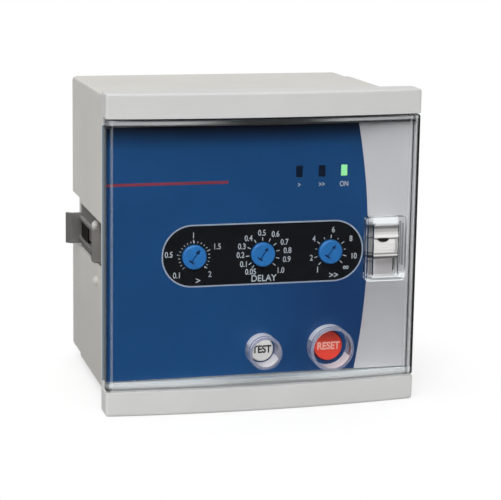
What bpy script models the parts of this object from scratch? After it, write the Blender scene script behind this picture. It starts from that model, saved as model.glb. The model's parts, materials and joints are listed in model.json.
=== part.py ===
"""Flush-mounting earth-fault protection relay in a 96 x 96 mm panel case.

The relay is laid out in its own frame: X to the right, Y from front to rear, Z up.
Y is zero at the front corners of the bezel and Z is zero at the bezel's centre.
An empty then stands the whole relay on its lower bezel edge, with the origin under its middle.

The feature of most skill is the bowed clear cover: a hinged shell with a sliding keyhole latch and
two wells for the push buttons, which closes over a lug on the front plate.
"""

import math

import bmesh
import bpy
from mathutils import Matrix, Vector

MM = 0.001
SEAT_GAP = 0.3 * MM          # between pieces that touch on the real relay
RUNNING_GAP = 0.4 * MM       # round pieces that turn or slide
ROUND_STEPS = 24             # sides of a round piece

# Bezel
BEZEL_SIZE = 96.0 * MM
BEZEL_EDGE_DEPTH = 7.0 * MM  # rear of the flange to the front corners
BEZEL_BOW = 3.0 * MM         # the middle of the front stands this far before its ends
BOW_STEPS = 20
FLANGE_THICKNESS = 2.0 * MM
STRIP_HEIGHT = 7.4 * MM
BEZEL_EDGE_RADIUS = 0.9 * MM
SKIRT_DEPTH = 6.0 * MM
SKIRT_WALL = 1.6 * MM
PLATE_SIDE_LEDGE = 5.4 * MM  # flange behind the sides of the front plate
PLATE_END_LEDGE = 1.2 * MM   # flange behind its top and bottom
REBATE_DEPTH = 0.5 * MM

# Case
FLANGE_OVERHANG = 2.5 * MM   # flange beyond the case on each side
CASE_DRAFT = 0.3 * MM        # each side narrows by this much towards the rear
CASE_LENGTH = 51.2 * MM
CASE_WALL = 2.2 * MM
CASE_CORNER_RADIUS = 1.2 * MM
GUIDE_STUD_DIAMETER = 2.8 * MM
GUIDE_STUD_HEIGHT = 0.55 * MM
GUIDE_STUD_SETBACK = 20.9 * MM   # behind the flange
GUIDE_STUD_DROP = 12.9 * MM      # below the bezel's centre
REAR_COVER_STEP = 0.4 * MM   # the rear cover is this much narrower on each side
REAR_COVER_LENGTH = 15.5 * MM
REAR_COVER_WALL = 2.0 * MM
SPIGOT_LENGTH = 5.0 * MM
SPIGOT_WALL = 1.4 * MM

# Mounting clips in the side channels
CLIP_HEIGHT_OFFSET = -1.1 * MM
CLIP_SHEET = 1.0 * MM
CLIP_HALF_WIDTH = 7.9 * MM
CLIP_LENGTH = 30.5 * MM
CLIP_SETBACK = 26.0 * MM     # clip front behind the flange when it lies back
CLIP_TRAVEL = 24.5 * MM
CLIP_GRIP_OFFSET = -1.9 * MM   # foot, tab and window below the strap's middle
CLIP_FOOT_HALF = 5.3 * MM
CLIP_FOOT_REACH = 2.2 * MM
CLIP_TAB_HALF = 5.0 * MM
CLIP_TAB_REACH = 3.5 * MM
CLIP_TAB_CURL = 1.6 * MM
CLIP_RIB_HEIGHT = 0.8 * MM
CLIP_WINDOW_LENGTH = 17.0 * MM
CLIP_WINDOW_FRONT = 9.8 * MM  # behind the strap's front edge
CLIP_WINDOW_HALF = 2.9 * MM
CHANNEL_DEPTH = 2.9 * MM     # channel floor below the case side at the front
CHANNEL_LIP = 0.6 * MM       # the lips overlap the clip by this much
CHANNEL_FLOOR = 1.6 * MM
CLIP_PIP_DIAMETER = 2.8 * MM
CLIP_PIP_HEIGHT = 1.4 * MM
CLIP_PIP_SETBACK = 3.6 * MM
CLIP_PIP_RISE = 3.9 * MM        # pip above the strap's middle

# Front plate and its printed label
PLATE_SIDE_INSET = 0.8 * MM  # plate edge inside the bezel's side
PLATE_END_INSET = 2.7 * MM   # plate edge inside the strips
PLATE_THICKNESS = 1.6 * MM
LABEL_SETBACK = 3.0 * MM     # label face behind the bezel's front corners
LABEL_THICKNESS = 0.3 * MM
PILLAR_LENGTH = 5.5 * MM
PILLAR_DIAMETER = 5.0 * MM
PILLAR_PIN_DIAMETER = 2.0 * MM
PILLAR_SIDE_INSET = 4.0 * MM  # pillars inside the board's edges
PILLAR_END_INSET = 5.0 * MM

# Controls and lamps on the front
KNOB_TO_LATCH = 10.0 * MM     # right column of controls to the latch's frame
KNOB_ROW = -1.15 * MM
KNOB_DIAMETER = 7.4 * MM
KNOB_PROUD = 1.0 * MM
KNOB_BODY_DEPTH = 2.8 * MM
KNOB_STEM_DIAMETER = 2.6 * MM
KNOB_SLOT_WIDTH = 0.45 * MM
KNOB_SLOT_DEPTH = 0.8 * MM
KNOB_POINTER_ANGLE = 55.0    # degrees from +X, as the pointers stand
POT_SIZE = 10.0 * MM
POT_DEPTH = 4.2 * MM
BUTTON_ROW_INSET = 7.6 * MM  # above the plate's lower edge
TEST_DIAMETER = 7.4 * MM
RESET_DIAMETER = 9.0 * MM
BUTTON_PROUD = 1.2 * MM
BUTTON_STROKE = 1.5 * MM
BUTTON_FLANGE = 1.0 * MM     # flange beyond the cap, behind the plate
BUTTON_FLANGE_THICKNESS = 0.9 * MM
SPRING_WIRE = 0.4 * MM
SPRING_TURNS = 3.5
SWITCH_SIZE = 5.6 * MM
SWITCH_DEPTH = 1.8 * MM
SWITCH_TIP_DIAMETER = 2.4 * MM
SWITCH_TIP_LENGTH = 0.6 * MM
LAMP_ROW_INSET = 14.3 * MM   # below the plate's upper edge
LAMP_FIRST_INSET = 10.2 * MM  # to the left of the right column
LAMP_PITCH = 7.0 * MM
LAMP_WIDTH = 2.0 * MM
LAMP_HEIGHT = 3.4 * MM

# Clear cover
COVER_GAP = 0.3 * MM         # to the strips, and behind their bowed face
COVER_WALL = 2.0 * MM
COVER_FRONT_WALL = 1.8 * MM
COVER_EDGE_RADIUS = 0.8 * MM
HINGE_INSET = 1.1 * MM       # hinge axis inside the cover's left face
HINGE_SETBACK = 1.5 * MM     # hinge axis behind the bezel's front corners
HINGE_LUG_HEIGHT = 3.2 * MM
HINGE_PIN_DIAMETER = 1.0 * MM
HINGE_PIN_CLEARANCE = 0.15 * MM
HINGE_PIN_IN_STRIP = 3.6 * MM
HINGE_PIN_IN_COVER = 2.2 * MM
WELL_WALL = 0.9 * MM
WELL_PROUD = 0.4 * MM
TEST_WELL_CLEARANCE = 0.5 * MM
RESET_WELL_CLEARANCE = 1.4 * MM
LATCH_INSET = 10.8 * MM      # latch centre inside the bezel's side
LATCH_FRAME_WIDTH = 12.4 * MM
LATCH_FRAME_TOP = 9.8 * MM
LATCH_FRAME_BOTTOM = -9.8 * MM
LATCH_FRAME_FRONT = -2.6 * MM
LATCH_FRAME_REAR = 1.45 * MM
LATCH_TOP_WALL = 2.5 * MM
LATCH_BOTTOM_WALL = 1.4 * MM
LATCH_SIDE_WALL = 2.1 * MM
LATCH_LEDGE = 0.7 * MM
LATCH_LEDGE_DEPTH = 1.8 * MM
LATCH_HEIGHT = 10.0 * MM
LATCH_RAMP = 3.6 * MM           # height of the hollow upper face
LATCH_DENT_WIDTH = 4.0 * MM
LATCH_DENT_HEIGHT = 0.9 * MM
LATCH_TRAVEL = 5.0 * MM
LATCH_PLATE = 0.65 * MM
LATCH_PLATE_OVERLAP = 1.3 * MM
CATCH_HEAD = 2.8 * MM
CATCH_HEAD_DEPTH = 0.8 * MM
CATCH_SHANK = 1.5 * MM

# Boards and what they carry
BOARD_THICKNESS = 1.6 * MM
BOARD_SIDE_GAP = 1.0 * MM    # upright boards to the clip channels
FRONT_BOARD_END_GAP = 1.9 * MM  # board edge inside the plate's edge
REAR_BOARD_END_GAP = 4.3 * MM  # board edge inside the rear cover's spigot
MAIN_BOARD_SIDE_GAP = 3.3 * MM
MAIN_BOARD_RISE = 15.3 * MM  # main board above the case floor
RAIL_THICKNESS = 1.8 * MM
RAIL_OVERLAP = 1.0 * MM      # rail under the edge of the board
HEADER_LEFT = 10.0 * MM
HEADER_RIGHT = 5.0 * MM
HEADER_DEPTH = 3.5 * MM
HEADER_HEIGHT = 5.0 * MM
PART_GAP = 0.6 * MM          # between neighbours on the main board
RELAY_WIDTH = 12.6 * MM
RELAY_LENGTH = 29.0 * MM
RELAY_HEIGHT = 15.7 * MM
RELAY_SIDE_GAP = 3.2 * MM    # to the board's edge
RELAY_SPACING = 2.4 * MM
SUPPLY_SIDE_GAP = 2.0 * MM
SUPPLY_DEPTH = 12.0 * MM
SUPPLY_HEIGHT = 30.0 * MM
SUPPLY_OVERHANG = 4.0 * MM   # winding beyond the core, front and rear
SUPPLY_REAR_GAP = 1.0 * MM
SENSING_WIDTH = 24.0 * MM
SENSING_DEPTH = 6.0 * MM
SENSING_HEIGHT = 22.0 * MM
SENSING_OVERHANG = 3.0 * MM
SENSING_FRONT_GAP = 2.2 * MM
CORE_CORNER = 0.4 * MM
RESERVOIR_DIAMETER = 10.0 * MM
RESERVOIR_HEIGHT = 20.0 * MM
FILTER_DIAMETER = 8.0 * MM
FILTER_HEIGHT = 12.0 * MM
VARISTOR_DIAMETER = 10.0 * MM
VARISTOR_THICKNESS = 3.6 * MM
VARISTOR_LEG_WIDTH = 4.4 * MM
VARISTOR_LEG_LENGTH = 1.5 * MM
VARISTOR_LEG_THICKNESS = 1.0 * MM
CHIP_SIZE = 12.0 * MM
CHIP_THICKNESS = 1.6 * MM
CHIP_RISE = 6.0 * MM         # above the middle of the front board
TERMINAL_COLUMNS = 6
TERMINAL_PITCH = 10.2 * MM
TERMINAL_INSET = 11.0 * MM   # block centre inside the main board's edge
TERMINAL_END_WALL = 1.0 * MM
TERMINAL_WIDTH = 15.0 * MM
TERMINAL_WELL = 8.2 * MM
TERMINAL_WELL_DEPTH = 4.4 * MM
SCREW_HEAD_DIAMETER = 6.4 * MM
SCREW_HEAD_HEIGHT = 2.0 * MM
SCREW_SHANK_DIAMETER = 3.0 * MM
SCREW_SHANK_LENGTH = 4.0 * MM

# Levels along Y that several pieces share
FLANGE_REAR = BEZEL_EDGE_DEPTH
FLANGE_FRONT = FLANGE_REAR - FLANGE_THICKNESS
CASE_FRONT = FLANGE_REAR + SEAT_GAP
CASE_REAR = CASE_FRONT + CASE_LENGTH
COVER_SHELL_FRONT = CASE_REAR + SEAT_GAP
RELAY_REAR = COVER_SHELL_FRONT + REAR_COVER_LENGTH
LABEL_REAR = LABEL_SETBACK + LABEL_THICKNESS
PLATE_FRONT = LABEL_REAR + SEAT_GAP
PLATE_REAR = PLATE_FRONT + PLATE_THICKNESS
FRONT_BOARD_FRONT = PLATE_REAR + PILLAR_LENGTH + SEAT_GAP
FRONT_BOARD_REAR = FRONT_BOARD_FRONT + BOARD_THICKNESS
REAR_BOARD_REAR = COVER_SHELL_FRONT - SEAT_GAP
REAR_BOARD_FRONT = REAR_BOARD_REAR - BOARD_THICKNESS
COMPONENT_SEAT = FRONT_BOARD_FRONT - SEAT_GAP

HALF_BEZEL = BEZEL_SIZE / 2
CASE_SIZE = BEZEL_SIZE - 2 * FLANGE_OVERHANG
WINDOW_HALF = HALF_BEZEL - STRIP_HEIGHT
COVER_HALF_HEIGHT = WINDOW_HALF - COVER_GAP
HINGE_X = -HALF_BEZEL + HINGE_INSET
CASE_INNER_HALF = CASE_SIZE / 2 - CASE_WALL
CHANNEL_FLOOR_X = CASE_SIZE / 2 - CHANNEL_DEPTH
CLIP_INNER_X = CHANNEL_FLOOR_X + SEAT_GAP
CLIP_OUTER_X = CLIP_INNER_X + CLIP_SHEET
CHANNEL_HALF = CLIP_HALF_WIDTH + SEAT_GAP
CHANNEL_MOUTH_HALF = CLIP_HALF_WIDTH - CHANNEL_LIP
CLIP_FRONT = FLANGE_REAR + CLIP_SETBACK
PLATE_WIDTH = BEZEL_SIZE - 2 * PLATE_SIDE_INSET
PLATE_HEIGHT = 2 * (WINDOW_HALF - PLATE_END_INSET)
LATCH_X = HALF_BEZEL - LATCH_INSET
COLUMN_PITCH = LATCH_X - LATCH_FRAME_WIDTH / 2 - KNOB_TO_LATCH
COVER_RIM = LABEL_SETBACK - SEAT_GAP
CLIP_GRIP_Z = CLIP_HEIGHT_OFFSET + CLIP_GRIP_OFFSET
BUTTON_ROW = -PLATE_HEIGHT / 2 + BUTTON_ROW_INSET
LAMP_ROW = PLATE_HEIGHT / 2 - LAMP_ROW_INSET
LAMP_FIRST_X = COLUMN_PITCH - LAMP_FIRST_INSET
CASE_REAR_HALF = CASE_SIZE / 2 - CASE_DRAFT
SPIGOT_INNER = CASE_REAR_HALF - CASE_WALL - SEAT_GAP - SPIGOT_WALL
FRONT_BOARD_WIDTH = 2 * (CHANNEL_FLOOR_X - CHANNEL_FLOOR - BOARD_SIDE_GAP)
FRONT_BOARD_HEIGHT = PLATE_HEIGHT - 2 * FRONT_BOARD_END_GAP
REAR_BOARD_WIDTH = FRONT_BOARD_WIDTH
REAR_BOARD_HEIGHT = 2 * (SPIGOT_INNER - REAR_BOARD_END_GAP)
MAIN_BOARD_WIDTH = 2 * (SPIGOT_INNER - MAIN_BOARD_SIDE_GAP)
MAIN_BOARD_Z = -CASE_INNER_HALF + MAIN_BOARD_RISE
PILLAR_X = FRONT_BOARD_WIDTH / 2 - PILLAR_SIDE_INSET
PILLAR_Z = FRONT_BOARD_HEIGHT / 2 - PILLAR_END_INSET
TERMINAL_X = MAIN_BOARD_WIDTH / 2 - TERMINAL_INSET
TERMINAL_HALF_HEIGHT = TERMINAL_COLUMNS * TERMINAL_PITCH / 2 + TERMINAL_END_WALL

FRONT = Vector((0.0, -1.0, 0.0))
REAR = Vector((0.0, 1.0, 0.0))
UP = Vector((0.0, 0.0, 1.0))


def new_collection(name):
    """Return a collection of this name, linked to the scene."""
    collection = bpy.data.collections.new(name)
    bpy.context.scene.collection.children.link(collection)
    return collection


def linear(value):
    """Turn one sRGB channel from 0-255 into Blender's linear value."""
    value = value / 255.0
    return value / 12.92 if value <= 0.04045 else ((value + 0.055) / 1.055) ** 2.4


def plastic(name, colour, roughness=0.5, metallic=0.0, transmission=0.0):
    """Return a Principled material with an sRGB colour given as a hex string."""
    material = bpy.data.materials.new(name)
    material.use_nodes = True
    shader = material.node_tree.nodes["Principled BSDF"]
    channels = [linear(int(colour[i:i + 2], 16)) for i in (0, 2, 4)]
    shader.inputs["Base Color"].default_value = (*channels, 1.0)
    shader.inputs["Roughness"].default_value = roughness
    shader.inputs["Metallic"].default_value = metallic
    shader.inputs["Transmission Weight"].default_value = transmission
    material.diffuse_color = (*channels, 1.0)
    return material


class Workshop:
    """The collections, materials and root empty that every piece is built with."""

    def __init__(self):
        for item in list(bpy.data.objects):
            bpy.data.objects.remove(item, do_unlink=True)
        self.parts = new_collection("protection_relay")
        self.bench = new_collection("bench")
        self.materials = {}
        self.root = bpy.data.objects.new("relay_root", None)
        foremost = -BEZEL_BOW - max(WELL_PROUD - COVER_GAP, 0.0)
        self.root.location = (0.0, -(RELAY_REAR + foremost) / 2, HALF_BEZEL)
        self.parts.objects.link(self.root)

    def finish(self, name, colour, roughness=0.5, metallic=0.0, transmission=0.0):
        """Return the named material, made once."""
        if name not in self.materials:
            self.materials[name] = plastic(name, colour, roughness, metallic, transmission)
        return self.materials[name]


def on_bench(shop, mesh):
    """Return a bench object that shows this mesh in the relay's own frame."""
    item = bpy.data.objects.new("bench_piece", mesh)
    shop.bench.objects.link(item)
    return item


def apply_modifiers(item):
    """Replace an object's mesh by its evaluated mesh and drop its modifiers."""
    graph = bpy.context.evaluated_depsgraph_get()
    mesh = bpy.data.meshes.new_from_object(item.evaluated_get(graph))
    item.modifiers.clear()
    item.data = mesh


def box(shop, x, y, z, radius=0.0, along=None, segments=2):
    """Return a box between pairs of X, Y and Z limits.

    A radius rounds the edges that run along the axis given by its index, or all edges.
    """
    shape = bmesh.new()
    bmesh.ops.create_cube(shape, size=1.0)
    for corner in shape.verts:
        corner.co = Vector([pair[0] if value < 0 else pair[1] for value, pair in zip(corner.co, (x, y, z))])
    if radius > 0.0:
        edges = shape.edges[:]
        if along is not None:
            edges = [e for e in edges if abs((e.verts[1].co - e.verts[0].co)[along]) > 1e-7]
        bmesh.ops.bevel(shape, geom=edges, offset=radius, segments=segments, profile=0.5, affect="EDGES")
    mesh = bpy.data.meshes.new("box")
    shape.to_mesh(mesh)
    shape.free()
    return on_bench(shop, mesh)


def cylinder(shop, radius, start, direction, length, steps=ROUND_STEPS):
    """Return a cylinder that starts at a point and runs along a direction."""
    shape = bmesh.new()
    place = Matrix.Translation(Vector(start) + direction * length / 2)
    turn = UP.rotation_difference(direction).to_matrix().to_4x4()
    bmesh.ops.create_cone(shape, cap_ends=True, segments=steps, radius1=radius, radius2=radius,
                          depth=length, matrix=place @ turn)
    mesh = bpy.data.meshes.new("cylinder")
    shape.to_mesh(mesh)
    shape.free()
    return on_bench(shop, mesh)


def turned(shop, profile, start, direction, steps=ROUND_STEPS):
    """Return a turned piece from (radius, height) points that run from its top to its foot.

    Heights are measured from the start point along the direction.
    """
    mesh = bpy.data.meshes.new("profile")
    points = [(radius, 0.0, height) for radius, height in profile]
    mesh.from_pydata(points, [(i, i + 1) for i in range(len(points) - 1)], [])
    item = on_bench(shop, mesh)
    screw = item.modifiers.new("turn", "SCREW")
    screw.steps = steps
    screw.render_steps = steps
    screw.use_merge_vertices = True
    screw.merge_threshold = 0.000001
    apply_modifiers(item)
    turn = UP.rotation_difference(direction).to_matrix().to_4x4()
    item.data.transform(Matrix.Translation(Vector(start)) @ turn)
    return item


PLANE_TURNS = {
    "XY": Matrix(((1, 0, 0), (0, 1, 0), (0, 0, 1))),
    "XZ": Matrix(((1, 0, 0), (0, 0, -1), (0, 1, 0))),
    "YZ": Matrix(((0, 0, 1), (1, 0, 0), (0, 1, 0))),
}


def extruded(shop, outlines, plane, low, high):
    """Return a solid from flat outlines in a plane, between two levels across it.

    The first outline is the edge of the solid, and any others are holes through it.
    """
    curve = bpy.data.curves.new("outline", "CURVE")
    curve.dimensions = "2D"
    curve.fill_mode = "BOTH"
    curve.extrude = (high - low) / 2
    for outline in outlines:
        spline = curve.splines.new("POLY")
        spline.points.add(len(outline) - 1)
        spline.use_cyclic_u = True
        for point, (u, v) in zip(spline.points, outline):
            point.co = (u, v, 0.0, 1.0)
    drawn = bpy.data.objects.new("outline", curve)
    shop.bench.objects.link(drawn)
    graph = bpy.context.evaluated_depsgraph_get()
    mesh = bpy.data.meshes.new_from_object(drawn.evaluated_get(graph))
    bpy.data.objects.remove(drawn, do_unlink=True)
    middle = {"XY": (0, 0, 1), "XZ": (0, 1, 0), "YZ": (1, 0, 0)}[plane]
    mesh.transform(Matrix.Translation(Vector(middle) * (low + high) / 2) @ PLANE_TURNS[plane].to_4x4())
    shape = bmesh.new()
    shape.from_mesh(mesh)
    bmesh.ops.remove_doubles(shape, verts=shape.verts, dist=0.000001)
    bmesh.ops.recalc_face_normals(shape, faces=shape.faces)
    shape.to_mesh(mesh)
    shape.free()
    return on_bench(shop, mesh)


def combine(item, others, operation):
    """Cut the others out of an item, or join them to it, and clear them away."""
    for other in others:
        modifier = item.modifiers.new("combine", "BOOLEAN")
        modifier.operation = operation
        modifier.solver = "EXACT"
        modifier.object = other
    apply_modifiers(item)
    for other in others:
        bpy.data.objects.remove(other, do_unlink=True)
    return item


def cut(item, *cutters):
    """Return the item with the cutters taken out of it."""
    return combine(item, cutters, "DIFFERENCE")


def join(item, *others):
    """Return the item with the others joined to it as one body."""
    return combine(item, others, "UNION")


def bevel(item, radius, chosen, segments=2):
    """Round the sharp edges of an item that a test on their middle point picks."""
    shape = bmesh.new()
    shape.from_mesh(item.data)
    edges = []
    for edge in shape.edges:
        middle = (edge.verts[0].co + edge.verts[1].co) / 2
        if edge.is_manifold and edge.calc_face_angle() > math.radians(40) and chosen(middle):
            edges.append(edge)
    bmesh.ops.bevel(shape, geom=edges, offset=radius, segments=segments, profile=0.5, affect="EDGES")
    shape.to_mesh(item.data)
    shape.free()
    return item


def hand_in(shop, item, name, material, origin, parent=None):
    """Name a bench piece, give it its material and set its origin at a point of the relay's frame."""
    shop.bench.objects.unlink(item)
    shop.parts.objects.link(item)
    item.name = name
    item.data.name = name
    origin = Vector(origin)
    item.data.transform(Matrix.Translation(-origin))
    item.data.materials.clear()
    item.data.materials.append(material)
    item.data.shade_smooth()
    item.data.set_sharp_from_angle(angle=math.radians(32))
    base = Vector((0.0, 0.0, 0.0)) if parent is None else parent["axis_point"]
    item["axis_point"] = origin
    item.parent = shop.root if parent is None else parent
    item.location = origin - Vector(base)
    return item


def rectangle(u, v, width, height, radius=0.0, steps=3):
    """Return the outline of a rectangle about a centre, with round corners if a radius is given."""
    corners = [(1, 1, 0), (-1, 1, 90), (-1, -1, 180), (1, -1, 270)]
    points = []
    for su, sv, start in corners:
        cu = u + su * (width / 2 - radius)
        cv = v + sv * (height / 2 - radius)
        if radius == 0.0:
            points.append((cu, cv))
            continue
        for step in range(steps + 1):
            angle = math.radians(start + 90 * step / steps)
            points.append((cu + radius * math.cos(angle), cv + radius * math.sin(angle)))
    return points


def circle(u, v, radius, steps=ROUND_STEPS):
    """Return a round outline about a centre."""
    return [(u + radius * math.cos(2 * math.pi * i / steps), v + radius * math.sin(2 * math.pi * i / steps))
            for i in range(steps)]


def bow(x, setback=0.0):
    """Return Y of the bowed front at X, or of a face set back behind it."""
    radius = (HALF_BEZEL ** 2 + BEZEL_BOW ** 2) / (2 * BEZEL_BOW)
    return radius - BEZEL_BOW - math.sqrt(radius ** 2 - x ** 2) + setback


def bowed_plan(half_width, setback, rear):
    """Return the plan outline of a block with the bowed front."""
    steps = [-half_width + 2 * half_width * i / BOW_STEPS for i in range(BOW_STEPS + 1)]
    return [(x, bow(x, setback)) for x in steps] + [(half_width, rear), (-half_width, rear)]


def knob_x(index):
    """Return X of a control column: 0, 1 and 2 from left to right."""
    return (index - 1) * COLUMN_PITCH


def lamp_x(index):
    """Return X of a lamp, from left to right."""
    return LAMP_FIRST_X + index * LAMP_PITCH


def latch_window():
    """Return the bottom and top of the window that the latch slides in."""
    return LATCH_FRAME_BOTTOM + LATCH_BOTTOM_WALL, LATCH_FRAME_TOP - LATCH_TOP_WALL


def latch_rest():
    """Return the bottom and top of the latch as it rests at the top of its window."""
    top = latch_window()[1] - SEAT_GAP
    return top - LATCH_HEIGHT, top


def catch_z():
    """Return Z of the lug that the latch's keyhole closes on."""
    return latch_rest()[0] + CATCH_HEAD / 2 + 2 * RUNNING_GAP


def make_front_bezel(shop):
    """Bezel: two bowed strips on a square flange, with a skirt that enters the case."""
    half = HALF_BEZEL
    bezel = extruded(shop, [bowed_plan(half, 0.0, FLANGE_REAR)], "XY", -half, half)
    bevel(bezel, BEZEL_EDGE_RADIUS,
          lambda p: p.y < FLANGE_REAR - MM and (abs(p.z) > half - MM or abs(p.x) > half - MM))
    cutters = [box(shop, (-2 * half, 2 * half), (-half, FLANGE_FRONT), (-WINDOW_HALF, WINDOW_HALF))]
    rebate = PLATE_HEIGHT / 2 + SEAT_GAP
    cutters.append(box(shop, (-2 * half, 2 * half), (0.0, FLANGE_FRONT + REBATE_DEPTH), (-rebate, rebate)))
    opening = (PLATE_WIDTH / 2 - PLATE_SIDE_LEDGE, PLATE_HEIGHT / 2 - PLATE_END_LEDGE)
    cutters.append(box(shop, (-opening[0], opening[0]), (0.0, half), (-opening[1], opening[1])))
    skirt_half = CASE_INNER_HALF - SEAT_GAP
    for side in (-1, 1):
        start = (HINGE_X, HINGE_SETBACK, side * (WINDOW_HALF - MM))
        cutters.append(cylinder(shop, HINGE_PIN_DIAMETER / 2 + HINGE_PIN_CLEARANCE, start, UP * side,
                                HINGE_PIN_IN_STRIP + MM + SEAT_GAP, 12))
    cut(bezel, *cutters)
    skirt_rear = FLANGE_REAR + SKIRT_DEPTH
    skirt = extruded(shop, [rectangle(0, 0, 2 * skirt_half, 2 * skirt_half, CASE_CORNER_RADIUS),
                            rectangle(0, 0, 2 * (skirt_half - SKIRT_WALL), 2 * (skirt_half - SKIRT_WALL))],
                     "XZ", FLANGE_REAR - MM, skirt_rear)
    gap_low = CLIP_HEIGHT_OFFSET - CHANNEL_HALF - 2 * CHANNEL_FLOOR
    gap_high = CLIP_HEIGHT_OFFSET + CHANNEL_HALF + 2 * CHANNEL_FLOOR
    cut(skirt, box(shop, (-half, half), (FLANGE_REAR - 2 * MM, half), (gap_low, gap_high)))
    join(bezel, skirt)
    hand_in(shop, bezel, "front_bezel", shop.finish("bezel_grey", "c9c9c7", 0.45), (0, FLANGE_REAR, 0))


def case_half(y):
    """Return half of the case's outer width at a level along Y."""
    return CASE_SIZE / 2 - CASE_DRAFT * (y - CASE_FRONT) / CASE_LENGTH


def drafted_block(shop, front, rear, inset, radius):
    """Return a square block that follows the case's drafted sides, inset from them."""
    block = box(shop, (-1, 1), (front, rear), (-1, 1))
    for corner in block.data.vertices:
        half = case_half(corner.co.y) - inset
        corner.co.x *= half
        corner.co.z *= half
    if radius > 0.0:
        bevel(block, radius, lambda p: abs(p.x) > MM and abs(p.z) > MM)
    return block


def domed(radius, height):
    """Return the profile of a low dome, for a turned piece that stands in a flat face."""
    return [(0.0, height), (radius * 0.55, height - radius * 0.08), (radius * 0.86, height - radius * 0.22),
            (radius, 0.0), (radius, -MM / 2), (0.0, -MM / 2)]


def make_case_shell(shop):
    """Case: a drafted tube with board rails, side channels for the clips and a stud below each."""
    case = drafted_block(shop, CASE_FRONT, CASE_REAR, 0.0, CASE_CORNER_RADIUS)
    cut(case, drafted_block(shop, CASE_FRONT - MM, CASE_REAR + MM, CASE_WALL, 0.0))
    additions = []
    pad_low = CLIP_HEIGHT_OFFSET - CHANNEL_HALF - CHANNEL_FLOOR
    pad_high = CLIP_HEIGHT_OFFSET + CHANNEL_HALF + CHANNEL_FLOOR
    pad_inner = CHANNEL_FLOOR_X - CHANNEL_FLOOR
    rail_front = FRONT_BOARD_REAR + SKIRT_DEPTH
    for side in (-1, 1):
        limits = sorted((side * pad_inner, side * (case_half(CASE_REAR) - CASE_WALL / 2)))
        additions.append(box(shop, limits, (CASE_FRONT, CASE_REAR), (pad_low, pad_high)))
        inner = side * (MAIN_BOARD_WIDTH / 2 - RAIL_OVERLAP)
        limits = sorted((inner, side * (case_half(CASE_REAR) - CASE_WALL / 2)))
        top = MAIN_BOARD_Z - SEAT_GAP
        additions.append(box(shop, limits, (rail_front, REAR_BOARD_FRONT - SPIGOT_LENGTH),
                             (top - RAIL_THICKNESS, top)))
    join(case, *additions)
    cutters = []
    for side in (-1, 1):
        limits = sorted((side * CHANNEL_FLOOR_X, side * (CLIP_OUTER_X + SEAT_GAP)))
        levels = (CLIP_HEIGHT_OFFSET - CHANNEL_HALF, CLIP_HEIGHT_OFFSET + CHANNEL_HALF)
        cutters.append(box(shop, limits, (CASE_FRONT - MM, CASE_REAR + MM), levels))
        limits = sorted((side * (CHANNEL_FLOOR_X + SEAT_GAP), side * CASE_SIZE))
        levels = (CLIP_HEIGHT_OFFSET - CHANNEL_MOUTH_HALF, CLIP_HEIGHT_OFFSET + CHANNEL_MOUTH_HALF)
        cutters.append(box(shop, limits, (CASE_FRONT - MM, CASE_REAR + MM), levels))
    cut(case, *cutters)
    y = FLANGE_REAR + GUIDE_STUD_SETBACK
    for side in (-1, 1):
        place = (side * (case_half(y) - CASE_DRAFT), y, -GUIDE_STUD_DROP)
        dome = domed(GUIDE_STUD_DIAMETER / 2, GUIDE_STUD_HEIGHT + CASE_DRAFT)
        join(case, turned(shop, dome, place, Vector((side, 0, 0)), 16))
    hand_in(shop, case, "case_shell", shop.finish("case_grey", "b9b7b2", 0.55), (0, CASE_FRONT, 0))


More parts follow.
